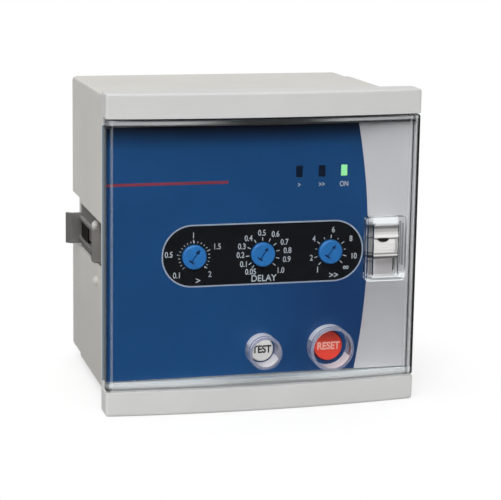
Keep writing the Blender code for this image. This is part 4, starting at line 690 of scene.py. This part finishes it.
def true_bow(piece: Item, setbacks: Sequence[float]) -> None:
    """Give a piece's bowed faces the bow's own normals, so that they mirror and bend light evenly.

    Args:
        piece: The piece, whose modifiers are applied.
        setbacks: How far each bowed face lies behind the bezel's, in mm.
    """
    graph = bpy.context.evaluated_depsgraph_get()
    mesh = bpy.data.meshes.new_from_object(piece.evaluated_get(graph))
    piece.modifiers.clear()
    piece.data = mesh
    normals = [corner.vector.copy() for corner in mesh.corner_normals]
    places = [local(v.co)[:2] for v in mesh.vertices]
    for face in mesh.polygons:
        for setback in setbacks:
            on_bow = all(abs(places[v][1] - bow(places[v][0]) - setback) < ON_BOW_MM for v in face.vertices)
            if not on_bow or abs(face.normal.y) < FRONTAL:
                continue
            for corner, v in zip(face.loop_indices, face.vertices):
                slope = places[v][0] / BOW_RADIUS
                normals[corner] = Vector((-slope, 1.0, 0.0)).normalized() * math.copysign(1.0, face.normal.y)
    mesh.normals_split_custom_set(normals)


def dress(nodes: Iterable[str], finish: Finish) -> None:
    """Give carried-over solids their finish."""
    for node in nodes:
        slots = bpy.data.objects[node].material_slots
        for slot in slots:
            slot.material = finish.material()
        log.info("%s keeps its solid, in %s", node, finish.name)


def rounded(x: float, z: float, width: float, height: float, radius: float, steps: int = 12) -> Outline:
    """Return the outline of a rectangle with round corners, in mm."""
    points = []
    for sx, sz, start in ((1, 1, 0), (-1, 1, 90), (-1, -1, 180), (1, -1, 270)):
        for step in range(steps + 1):
            angle = math.radians(start + 90 * step / steps)
            points.append((x + sx * (width / 2 - radius) + radius * math.cos(angle),
                           z + sz * (height / 2 - radius) + radius * math.sin(angle)))
    return points


def ring(x: float, z: float, radius: float, steps: int = 48) -> Outline:
    """Return a round outline, in mm."""
    return [(x + radius * math.cos(2 * math.pi * i / steps), z + radius * math.sin(2 * math.pi * i / steps))
            for i in range(steps)]


def slab(name: str, corner: Sequence[float], far_corner: Sequence[float], finish: Finish) -> Item:
    """Return a thin flat plate between two corners in mm."""
    low, high = at(*corner), at(*far_corner)
    shape = bmesh.new()
    bmesh.ops.create_cube(shape, size=1.0)
    size = Matrix.Diagonal([abs(a - b) for a, b in zip(low, high)] + [1.0])
    bmesh.ops.transform(shape, matrix=Matrix.Translation((low + high) / 2) @ size, verts=shape.verts)
    return link(name, drawn_mesh(name, shape), finish)


def dome(name: str, spot: Sequence[float], radius: float, rise: float, finish: Finish) -> Item:
    """Return a round cap that rises sideways out of a wall, with a shallow root inside it.

    Args:
        name: The piece's name.
        spot: The middle of its base, in mm.
        radius: Its radius in the wall's plane.
        rise: How far it stands out of the wall.
        finish: Its finish.

    Returns:
        The dome.
    """
    shape = bmesh.new()
    bmesh.ops.create_uvsphere(shape, u_segments=32, v_segments=16, radius=1.0)
    side = math.copysign(1.0, spot[0])
    for point in shape.verts:
        point.co.x = side * max(side * point.co.x, -DOME_ROOT)
    size = Matrix.Diagonal((rise * MM, radius * MM, radius * MM, 1.0))
    bmesh.ops.transform(shape, matrix=Matrix.Translation(at(*spot)) @ size, verts=shape.verts)
    mesh = drawn_mesh(name, shape)
    mesh.shade_smooth()
    return link(name, mesh, finish)


def print_layer(name: str, outlines: Sequence[Outline], y: float, thickness: float,
                finish: Finish) -> Item:
    """Return a thin printed area that faces the front.

    Args:
        name: The piece's name.
        outlines: Closed outlines in mm, X and Z. One inside another is a hole.
        y: The printed face, in mm behind the bezel's front corners.
        thickness: The ink's thickness in mm.
        finish: The ink.

    Returns:
        The layer, in place.
    """
    curve = bpy.data.curves.new(name, "CURVE")
    curve.dimensions = "2D"
    curve.fill_mode = "BOTH"
    curve.extrude = thickness * MM / 2
    for outline in outlines:
        spline = curve.splines.new("POLY")
        spline.points.add(len(outline) - 1)
        spline.use_cyclic_u = True
        for point, (u, v) in zip(spline.points, outline):
            point.co = (u * MM, v * MM, 0.0, 1.0)
    return flat_piece(name, curve, y + thickness / 2, finish)


def flat_piece(name: str, curve: bpy.types.Curve, y: float, finish: Finish) -> Item:
    """Turn a flat curve or lettering into a mesh that faces the front, so many mm behind its corners."""
    drawn = enter(bpy.data.objects.new(name + "_drawn", curve))
    graph = bpy.context.evaluated_depsgraph_get()
    mesh = bpy.data.meshes.new_from_object(drawn.evaluated_get(graph))
    bpy.data.objects.remove(drawn, do_unlink=True)
    mesh.transform(Matrix.Translation(at(0.0, y, 0.0)) @ Matrix.Rotation(math.radians(90), 4, "X"))
    mesh.name = name
    return link(name, mesh, finish)


def lettering(name: str, text: str, x: float, y: float, z: float, height_mm: float, finish: Finish,
              squeeze: float = 1.0, weight: float = 0.012) -> Item:
    """Return plain sans lettering, centred on a place in mm.

    Args:
        name: The piece's name.
        text: The figures or letters.
        x: The middle of the text.
        y: The printed face.
        z: The middle of the text.
        height_mm: The height of the capitals.
        finish: The ink.
        squeeze: The width of the letters as a share of their usual width.
        weight: How much bolder than the plain font its strokes are, as a share of the size.

    Returns:
        The lettering, as a mesh.
    """
    font = bpy.data.curves.new(name, "FONT")
    font.body = text
    font.size = height_mm * MM / CAPITAL_SHARE
    font.align_x = "CENTER"
    font.align_y = "CENTER"
    font.extrude = INK_MM * MM
    font.offset = weight * font.size
    piece = flat_piece(name, font, 0.0, finish)
    back = Matrix.Translation(-at(0, 0, 0))
    shrink = Matrix.Diagonal((squeeze, 1.0, 1.0, 1.0))
    piece.data.transform(Matrix.Translation(at(x, y, z)) @ shrink @ back)
    return piece


def marks(name: str, strokes: Sequence[tuple[float, float, float, float, float]], y: float,
          finish: Finish) -> Item:
    """Return printed strokes as one piece.

    Args:
        name: The piece's name.
        strokes: For each stroke its start and end in mm, X and Z, and its width.
        y: The printed face.
        finish: The ink.

    Returns:
        The strokes.
    """
    outlines = []
    for x0, z0, x1, z1, width in strokes:
        along = Vector((x1 - x0, z1 - z0)).normalized()
        side = Vector((-along.y, along.x)) * width / 2
        outlines.append([(x0 + side.x, z0 + side.y), (x0 - side.x, z0 - side.y),
                         (x1 - side.x, z1 - side.y), (x1 + side.x, z1 + side.y)])
    return print_layer(name, outlines, y, INK_MM, finish)


@dataclass
class Housing:
    """Bezel, case and rear cover of grey plastic, with the dark front plate and the hinge pins."""

    bezel_edge: float = 0.35
    flange_front: float = 5.5
    flange_half: float = 39.5
    flange_facing: float = -0.2
    case_edge: float = 0.06
    rear_edge: float = 0.12
    stud_place: tuple[float, float, float] = (45.3, 27.9, -12.9)
    stud_radius: float = 1.5
    stud_rise: float = 1.5

    def build(self) -> None:
        """Refine the mouldings."""
        bezel = refine("front_bezel", "relay", BEZEL_GREY, self.bezel_edge, 3)
        true_bow(bezel, (0.0,))
        self.shade_flange(bezel)
        refine("case_shell", "relay", CASE_GREY, self.case_edge)
        refine("rear_cover", "relay", CASE_GREY, self.rear_edge)
        self.cap_studs()
        dress(["front_plate"], PLATE_DARK)
        dress(["hinge_pin_top", "hinge_pin_bottom"], BRIGHT_STEEL)

    def shade_flange(self, bezel: Item) -> None:
        """Paint the left of the flange between the strips a darker blue-grey, as painted shade where the clear
        cover's side lies over it.
        """
        bezel.data.materials.append(FLANGE_PAINTED_SHADE.material())
        for face in bezel.data.polygons:
            x, y, z = local(face.center)
            on_front = face.normal.y < self.flange_facing and abs(y - self.flange_front) < self.bezel_edge
            if on_front and x < 0 and abs(z) < self.flange_half:
                face.material_index = 1

    def cap_studs(self) -> None:
        """Round off the guide stud on each side of the case with a small dome."""
        x, y, z = self.stud_place
        for side, name in ((-1, "left"), (1, "right")):
            stud = dome("guide_stud_" + name, (side * x, y, z), self.stud_radius, self.stud_rise, CASE_GREY)
            place(stud, "relay")


DIAL_NAMES = ("pickup", "delay", "multiplier")
LAMP_NAMES = ("pickup_lamp", "instant_lamp", "supply_lamp")


@dataclass(frozen=True)
class Dial:
    """One dial's figures, and the angles of its long and fine ticks."""

    name: str
    figures: Sequence[tuple[str, float, float]]
    ticks: Sequence[float]
    fine: Sequence[float]


@dataclass
class FrontLabel:
    """Printed film: blue and silver fields, a black oval with three dials, and a red stripe."""

    face: float = 3.0
    half_width: float = 47.15
    half_height: float = 37.85
    arc_bulge: float = 32.8
    arc_centre_z: float = -1.0
    arc_radius: float = 197.0
    oval_width: float = 62.2
    oval_height: float = 18.9
    oval_place: tuple[float, float] = (0.25, -0.85)
    oval_radius: float = 9.3
    oval_line: float = 0.42
    knob_hole: float = 3.95
    button_holes: tuple[float, float] = (4.0, 4.8)
    lamp_hole: tuple[float, float] = (2.1, 3.5)
    figure_height: float = 1.7
    tick_reach: tuple[float, float] = (4.2, 5.25)
    fine_reach: tuple[float, float] = (4.3, 4.85)
    stripe: tuple[float, float, float] = (-47.0, -10.9, 21.0)
    stripe_width: float = 0.85
    layer: float = 0.03
    print_gap: float = 0.02
    tick_widths: tuple[float, float] = (0.26, 0.2)
    figure_squeeze: float = 0.82
    lamp_words: tuple[str, ...] = (">", ">>", "ON")
    lamp_word: tuple[float, float, float] = (4.1, 1.5, 0.8)      # drop, height and squeeze
    dial_words: tuple[tuple[str, float], ...] = ((">", 1.2), ("DELAY", 0.35), (">>", 1.2))
    dial_word: tuple[float, float, float] = (7.3, 1.9, 0.95)     # drop, height and squeeze

    def dials(self) -> list[Dial]:
        """Return the three dials with their figures and ticks."""
        fine = [225 - 13.5 * i for i in range(21)]
        return [
            Dial("pickup", (("0.1", -5.2, -5.4), ("0.5", -7.7, 0.9), ("1", -0.3, 6.5), ("1.5", 6.9, 2.9),
                            ("2", 4.8, -5.4)), (227, 171, 93, 24, -42), fine),
            Dial("delay", (("0.05", -3.7, -5.2), ("0.1", -5.8, -2.8), ("0.2", -6.9, 0.0), ("0.3", -6.5, 2.6),
                           ("0.4", -4.5, 5.0), ("0.5", -0.4, 6.5), ("0.6", 3.8, 6.0), ("0.7", 6.6, 3.5),
                           ("0.8", 7.6, 0.9), ("0.9", 7.4, -1.8), ("1.0", 5.5, -5.1)),
                 (230, 214, 184, 154, 121, 92, 65, 39, 12, -15, -42), []),
            Dial("multiplier", (("1", -3.9, -5.4), ("2", -5.9, -1.7), ("4", -5.2, 4.1), ("6", 0.8, 6.7),
                                ("8", 6.4, 3.8), ("10", 7.4, -1.6), ("∞", 5.0, -5.0)),
                 (227, 198, 142, 88, 35, -16, -43), [167, 115, 59, 8]),
        ]

    def field_edge(self) -> Outline:
        """Return the blue field's outline, whose right side is a long arc."""
        points = [(-self.half_width, -self.half_height)]
        for i in range(41):
            z = self.half_height * (i / 20 - 1)
            points.append((self.arc_bulge - (z - self.arc_centre_z) ** 2 / (2 * self.arc_radius), z))
        points.append((-self.half_width, self.half_height))
        return points

    def keep(self, piece: Item) -> None:
        """Let a printed piece ride on the relay."""
        place(piece, "relay")

    def build(self) -> None:
        """Print the label's layers."""
        dress(["front_label"], INK_SILVER)
        knobs = [ring(*middle(name + "_knob"), self.knob_hole) for name in DIAL_NAMES]
        buttons = zip(("test_button", "reset_button"), self.button_holes)
        holes = knobs + [ring(*middle(name), radius) for name, radius in buttons]
        holes += [rounded(*middle(name), *self.lamp_hole, 0.2, 3) for name in LAMP_NAMES]
        y = self.face - self.layer
        self.keep(print_layer("field_blue", [self.field_edge()] + holes, y, self.layer, INK_BLUE))
        y -= self.layer
        line = self.oval_line
        edge = rounded(*self.oval_place, self.oval_width, self.oval_height, self.oval_radius)
        inside = rounded(*self.oval_place, self.oval_width - 2 * line, self.oval_height - 2 * line,
                         self.oval_radius - line)
        self.keep(print_layer("oval_black", [inside] + knobs, y, self.layer, INK_BLACK))
        self.keep(print_layer("oval_outline", [edge, inside], y, self.layer, INK_OUTLINE))
        x0, x1, z = self.stripe
        self.keep(marks("stripe_red", [(x0, z, x1, z, self.stripe_width)], y, INK_RED))
        y -= self.print_gap
        for dial in self.dials():
            self.print_dial(dial, y)
        drop, height, squeeze = self.lamp_word
        for word, name in zip(self.lamp_words, LAMP_NAMES):
            x, z = middle(name)
            self.keep(lettering(name + "_mark", word, x, y, z - drop, height, INK_WHITE, squeeze))
        drop, height, squeeze = self.dial_word
        for (word, shift), name in zip(self.dial_words, DIAL_NAMES):
            x, z = middle(name + "_knob")
            self.keep(lettering(name + "_mark", word, x + shift, y, z - drop, height, INK_WHITE, squeeze))

    def print_dial(self, dial: Dial, y: float) -> None:
        """Print one dial's ticks and figures."""
        x, z = middle(dial.name + "_knob")
        strokes = []
        sorts = ((dial.ticks, self.tick_reach), (dial.fine, self.fine_reach))
        for (angles, (near, far)), width in zip(sorts, self.tick_widths):
            for angle in angles:
                c, s = math.cos(math.radians(angle)), math.sin(math.radians(angle))
                strokes.append((x + near * c, z + near * s, x + far * c, z + far * s, width))
        self.keep(marks("ticks_" + dial.name, strokes, y, INK_WHITE))
        for index, (text, dx, dz) in enumerate(dial.figures):
            self.keep(lettering("figure_%s_%02d" % (dial.name, index), text, x + dx, y, z + dz,
                                self.figure_height, INK_WHITE, self.figure_squeeze))


@dataclass
class Controls:
    """Knobs, push buttons and lamps."""

    knob_face: float = 2.0
    slot_depth: float = 0.8
    radius: float = 3.7
    slot_half: float = 0.225
    slot_fill: float = 0.95
    slot_lift: float = 0.06
    tip_share: float = 0.73
    tail_share: float = 0.45
    head_root: float = 0.47
    head_spread: float = 3.2
    bar_spread: float = 4.3
    pointer: float = 55.0
    button_face: float = 1.8
    button_ink: float = 0.03
    word_height: float = 2.2
    word_squeeze: float = 0.85
    word_weight: float = 0.03

    def build(self) -> None:
        """Refine and mark the controls."""
        for name in DIAL_NAMES:
            refine(name + "_knob", name + "_dial", KNOB_BLUE, 0.1)
            self.fill_slot(name)
        refine("test_button", "test_push", BUTTON_GREY, 0.2, 3)
        refine("reset_button", "reset_push", BUTTON_RED, 0.2, 3)
        for node, body, word, ink, slot in (("test_button", "test_push", "TEST", INK_DARK, Slot.TEST),
                                            ("reset_button", "reset_push", "RESET", INK_ROSE, Slot.RESET)):
            x, z = middle(node)
            printed = lettering(node + "_word", word, x, self.button_face - self.button_ink, z, self.word_height,
                                ink, self.word_squeeze, self.word_weight)
            place(printed, body)
        for name in LAMP_NAMES:
            lit = name == "supply_lamp"
            finish, slot = (LENS_GREEN, Slot.LAMP_GREEN) if lit else (LENS_DARK, Slot.LAMP_OFF)
            refine(name, "relay", finish, 0.12)

    def fill_slot(self, name: str) -> None:
        """Lay painted shade in the bottom of a knob's arrow slot."""
        x, z = middle(name + "_knob")
        tip, tail = self.radius * self.tip_share, -self.radius * self.tail_share
        half = self.slot_half * self.slot_fill
        spread, bar = half * self.head_spread, half * self.bar_spread
        head = [(tip * self.head_root, -spread), (tip, 0.0), (tip * self.head_root, spread)]
        cross = [(tail - half, -bar), (tail + half, -bar), (tail + half, bar), (tail - half, bar)]
        turn = math.radians(self.pointer)
        outlines = [[(x + u * math.cos(turn) - v * math.sin(turn), z + u * math.sin(turn) + v * math.cos(turn))
                     for u, v in shape] for shape in (head, cross)]
        depth = self.knob_face + self.slot_depth - self.slot_lift
        place(print_layer(name + "_slot_floor", outlines, depth, 0.05, KNOB_SLOT_SHADE), name + "_dial")


@dataclass
class ClearCover:
    """Hinged clear cover and its sliding latch."""

    edge: float = 0.25
    latch_edge: float = 0.12
    bow_setbacks: tuple[float, float] = (0.3, 2.1)
    near_bow: float = 0.15
    frontal: float = 0.8
    upward: float = 0.45
    well_reach: tuple[float, float] = (6.3, 7.1)
    dent: tuple[float, float] = (36.17, 3.2)
    dent_half: tuple[float, float] = (1.75, 1.0)
    dent_face: float = -2.33

    def build(self) -> None:
        """Refine the two clear pieces, which let the studio light through to the label."""
        cover = refine("clear_cover", "cover", CLEAR_COVER, self.edge)
        refine("cover_latch", "latch", FROSTED_LATCH, self.latch_edge)
        true_bow(cover, self.bow_setbacks)
        self.frost_walls(cover)
        cover.visible_shadow = False
        self.shade_dent()

    def frost_walls(self, cover: Item) -> None:
        """Give the walls of the button wells their milky finish, with painted light on the faces that face up."""
        mesh = cover.data
        mesh.materials.append(MILKY_WALL.material())
        mesh.materials.append(UPWARD_WALL_PAINTED_LIGHT.material())
        wells = [(middle(name), reach) for name, reach in zip(("test_button", "reset_button"), self.well_reach)]
        for face in mesh.polygons:
            x, y, z = local(face.center)
            off_bow = min(abs(y - bow(x) - setback) for setback in self.bow_setbacks)
            if abs(face.normal.y) > self.frontal and off_bow < self.near_bow:
                continue
            for (u, v), reach in wells:
                if math.hypot(x - u, z - v) < reach:
                    face.material_index = 2 if face.normal.z > self.upward else 1

    def shade_dent(self) -> None:
        """Lay painted shade for the latch's finger dent on its pad, as the lower half of a lens."""
        x, z = self.dent
        wide, high = self.dent_half
        lens = [(x + wide * u, z + high * min(v, 0.1)) for u, v in ring(0.0, 0.0, 1.0, 24)]
        place(print_layer("latch_dent_floor", [lens], self.dent_face, 0.03, DENT_SHADE), "latch")


@dataclass
class SideClips:
    """The two steel mounting clips."""

    edge: float = 0.18
    window_front: float = 9.8
    window_length: float = 17.0
    window_centre: float = -3.0
    window_half: float = 2.9
    strap_length: float = 30.5
    strap_face: float = 43.9
    tab_sheet: float = 1.05
    # face of the dark plate of painted shade behind the window
    shade_face: float = 43.1
    tongue_face: float = 43.82
    tongue_length: float = 8.0
    tongue_gap: float = 1.3
    pip_place: tuple[float, float] = (3.6, 2.8)
    pip_radius: float = 1.5
    pip_rise: float = 1.55

    def build(self) -> None:
        """Refine both clips, and give each its painted window shade and its pip."""
        for side, name in ((-1, "left"), (1, "right")):
            refine("mounting_clip_" + name, "clip_" + name, SPRING_STEEL, self.edge)
            front = local(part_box("mounting_clip_" + name)[0])[1]
            self.fit_window_shade(side, name, front)
            setback, height = self.pip_place
            spot = (side * self.strap_face, front + setback, height)
            pip = dome("clip_pip_" + name, spot, self.pip_radius, self.pip_rise, CASE_GREY)
            place(pip, "clip_" + name)

    def fit_window_shade(self, side: int, name: str, clip_front: float) -> None:
        """Fit dark plates of painted shade behind a clip's window and over its strap, and the tongue into the
        window.
        """
        front = clip_front + self.window_front
        rear = clip_front + self.strap_length - self.tab_sheet
        low, high = (self.window_centre + half for half in (0.1 - self.window_half, self.window_half - 0.1))
        floor, strap_face = self.shade_face, self.strap_face
        # dark plates of painted shade behind the window and over the strap, then the tongue
        plates = (("leaf", floor - 0.15, floor, front + 0.1, front + self.window_length - 0.1, low, WINDOW_SHADE_STEEL),
                  ("lap", strap_face + 0.02, strap_face + 0.12, front + self.tongue_length, rear, low, WINDOW_SHADE_STEEL),
                  ("tongue", floor, self.tongue_face, front + 0.1, front + self.tongue_length - 1.0,
                   low + self.tongue_gap, TONGUE_STEEL))
        for part, inner, outer, start, end, bottom, finish in plates:
            near, far = (side * inner, start, bottom), (side * outer, end, high)
            place(slab("clip_%s_%s" % (part, name), near, far, finish), "clip_" + name)


@dataclass
class Rear:
    """Terminal blocks and their screws."""

    block_edge: float = 0.25
    screw_edge: float = 0.12
    screws: int = 12

    def build(self) -> None:
        """Refine the blocks and the screws."""
        for side in ("left", "right"):
            refine("terminal_block_" + side, "relay", TERMINAL_BLACK, self.block_edge)
        for number in range(1, self.screws + 1):
            refine("terminal_screw_%02d" % number, "relay", ZINC_STEEL, self.screw_edge)


@dataclass
class Internals:
    """Boards and components inside the case, which keep their solids."""

    boards: tuple[str, ...] = ("front_board", "main_board", "rear_board")
    cores: tuple[str, ...] = ("supply_transformer_core", "sensing_transformer_core")
    windings: tuple[str, ...] = ("supply_transformer_winding", "sensing_transformer_winding")
    black: tuple[str, ...] = ("front_header", "rear_header", "trip_relay", "alarm_relay", "microcontroller",
                              "test_switch", "reset_switch")
    blue: tuple[str, ...] = ("reservoir_capacitor", "filter_capacitor", "surge_varistor", "pickup_potentiometer",
                             "delay_potentiometer", "multiplier_potentiometer")
    springs: tuple[str, ...] = ("test_spring", "reset_spring")

    def build(self) -> None:
        """Give each kind of component its finish."""
        for nodes, finish in ((self.boards, BOARD_GREEN), (self.cores, CORE_STEEL), (self.windings, WINDING_TAPE),
                              (self.black, PART_BLACK), (self.blue, PART_BLUE), (self.springs, BRIGHT_STEEL)):
            dress(nodes, finish)


@dataclass
class Studio:
    """White floor, soft lamps and the camera."""

    azimuth: float = -15.30
    elevation: float = 11.65
    roll: float = 0.91
    distance: float = 591.4
    lens_px: float = 1864.8
    picture_px: float = 501.0
    shift_right: float = 6.23
    shift_up: float = -7.21
    target_depth: float = 40.0
    ambient: float = 0.14
    overhead: float = 1.5
    shadow_core: float = 0.05
    shadow_reach: float = 0.1
    shadow_white: float = 0.6
    front_share: float = 0.12
    right_share: float = 0.2
    front_fade: tuple[float, float] = (-0.95, -0.45)
    right_fade: tuple[float, float] = (0.35, 0.8)
    key_way: tuple[float, float, float] = (-0.26, -0.65, 0.60)
    key_distance: float = 1.6
    key_size: float = 0.9
    key_power: float = 13.6
    key_aim: float = 35.0

    def build(self) -> None:
        """Set up the studio."""
        self.aim_camera()
        self.lay_floor()
        self.light_world()
        self.hang_key_lamp()
        bpy.context.scene.view_settings.view_transform = "Standard"

    def aim_camera(self) -> None:
        """Stand the camera where the photograph was taken from."""
        a, e, r = (math.radians(v) for v in (self.azimuth, self.elevation, self.roll))
        back = Vector((math.sin(a) * math.cos(e), -math.cos(a) * math.cos(e), math.sin(e)))
        right = Vector((math.cos(a), math.sin(a), 0.0))
        up = back.cross(right)
        centre = at(0.0, self.target_depth, 0.0)
        centre += (right * self.shift_right + up * self.shift_up + back * self.distance) * MM
        across = right * math.cos(r) + up * math.sin(r)
        upward = up * math.cos(r) - right * math.sin(r)
        camera = bpy.data.cameras.new("camera")
        camera.sensor_width = 36.0
        camera.lens = self.lens_px / self.picture_px * camera.sensor_width
        camera.clip_start = 0.01
        item = enter(bpy.data.objects.new("camera", camera))
        item.matrix_world = Matrix((
            (across.x, upward.x, back.x, centre.x), (across.y, upward.y, back.y, centre.y),
            (across.z, upward.z, back.z, centre.z), (0.0, 0.0, 0.0, 1.0)))
        bpy.context.scene.camera = item

    def lay_floor(self) -> None:
        """Lay a white floor that keeps only a faint shadow."""
        shape = bmesh.new()
        bmesh.ops.create_grid(shape, x_segments=1, y_segments=1, size=4.0)
        material = bpy.data.materials.new("floor_white_paper")
        material.use_nodes = True
        tree = material.node_tree
        shader = tree.nodes["Principled BSDF"]
        set_inputs(shader, Base_Color=linear("f0f0f0"), Roughness=0.9, Specular_IOR_Level=0.1)
        path = add_node(tree, "ShaderNodeLightPath")
        away = add_node(tree, "ShaderNodeVectorMath", {"operation": "LENGTH"}, {0: object_place(tree)})
        fade = remap(tree, away.outputs["Value"], self.shadow_core, self.shadow_reach,
                     self.shadow_white, 1.0, True)
        share = calculate(tree, "MULTIPLY", path.outputs["Is Camera Ray"], fade)
        white = add_node(tree, "ShaderNodeEmission", {}, {"Color": (1.0, 1.0, 1.0, 1.0), "Strength": 1.0})
        mix = add_node(tree, "ShaderNodeMixShader", {}, {
            0: share, 1: shader.outputs["BSDF"], 2: white.outputs["Emission"]})
        tree.links.new(mix.outputs["Shader"], tree.nodes["Material Output"].inputs["Surface"])
        floor = enter(bpy.data.objects.new("floor", drawn_mesh("floor", shape)))
        floor.data.materials.append(material)
        floor.visible_glossy = False
        floor.visible_transmission = False

    def light_world(self) -> None:
        """Show the surroundings white, and let them light the relay mostly from above.

        The space in front stays dim, as behind a camera, so that the cover mirrors little of it.
        """
        world = bpy.data.worlds.new("studio_world")
        world.use_nodes = True
        tree = world.node_tree
        axes = split(tree, add_node(tree, "ShaderNodeTexCoord").outputs["Generated"])
        upper = remap(tree, axes.outputs["Z"], 0.0, 1.0, self.ambient, self.ambient + self.overhead)
        front = remap(tree, axes.outputs["Y"], *self.front_fade, self.front_share, 1.0, True)
        right = remap(tree, axes.outputs["X"], *self.right_fade, 1.0, self.right_share, True)
        base = calculate(tree, "MULTIPLY", upper, calculate(tree, "MULTIPLY", front, right))
        path = add_node(tree, "ShaderNodeLightPath")
        strength = remap(tree, path.outputs["Is Camera Ray"], 0.0, 1.0, base, 1.0)
        light = tree.nodes["Background"]
        light.inputs["Color"].default_value = (1.0, 1.0, 1.0, 1.0)
        tree.links.new(strength, light.inputs["Strength"])
        bpy.context.scene.world = world

    def hang_key_lamp(self) -> None:
        """Hang a square soft lamp in front, up on the left, that faces the relay."""
        lamp = bpy.data.lights.new("lamp_key", "AREA")
        lamp.shape = "SQUARE"
        lamp.size = self.key_size
        lamp.energy = self.key_power
        item = enter(bpy.data.objects.new("lamp_key", lamp))
        way = Vector(self.key_way)
        item.location = at(0.0, self.key_aim, 0.0) + way.normalized() * self.key_distance
        item.rotation_euler = way.to_track_quat("Z", "Y").to_euler()


def clear_startup() -> None:
    """Remove the objects of Blender's start-up scene."""
    for item in list(bpy.data.objects):
        bpy.data.objects.remove(item, do_unlink=True)


def main() -> None:
    """Load the model, build each sub-assembly's looks and light them."""
    logging.basicConfig(level=logging.INFO, format="%(message)s")
    clear_startup()
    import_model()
    for assembly in (Housing(), FrontLabel(), Controls(), ClearCover(), SideClips(), Rear(), Internals(), Studio()):
        assembly.build()
        log.info("%s is built", type(assembly).__name__)


if __name__ == "__main__":
    main()
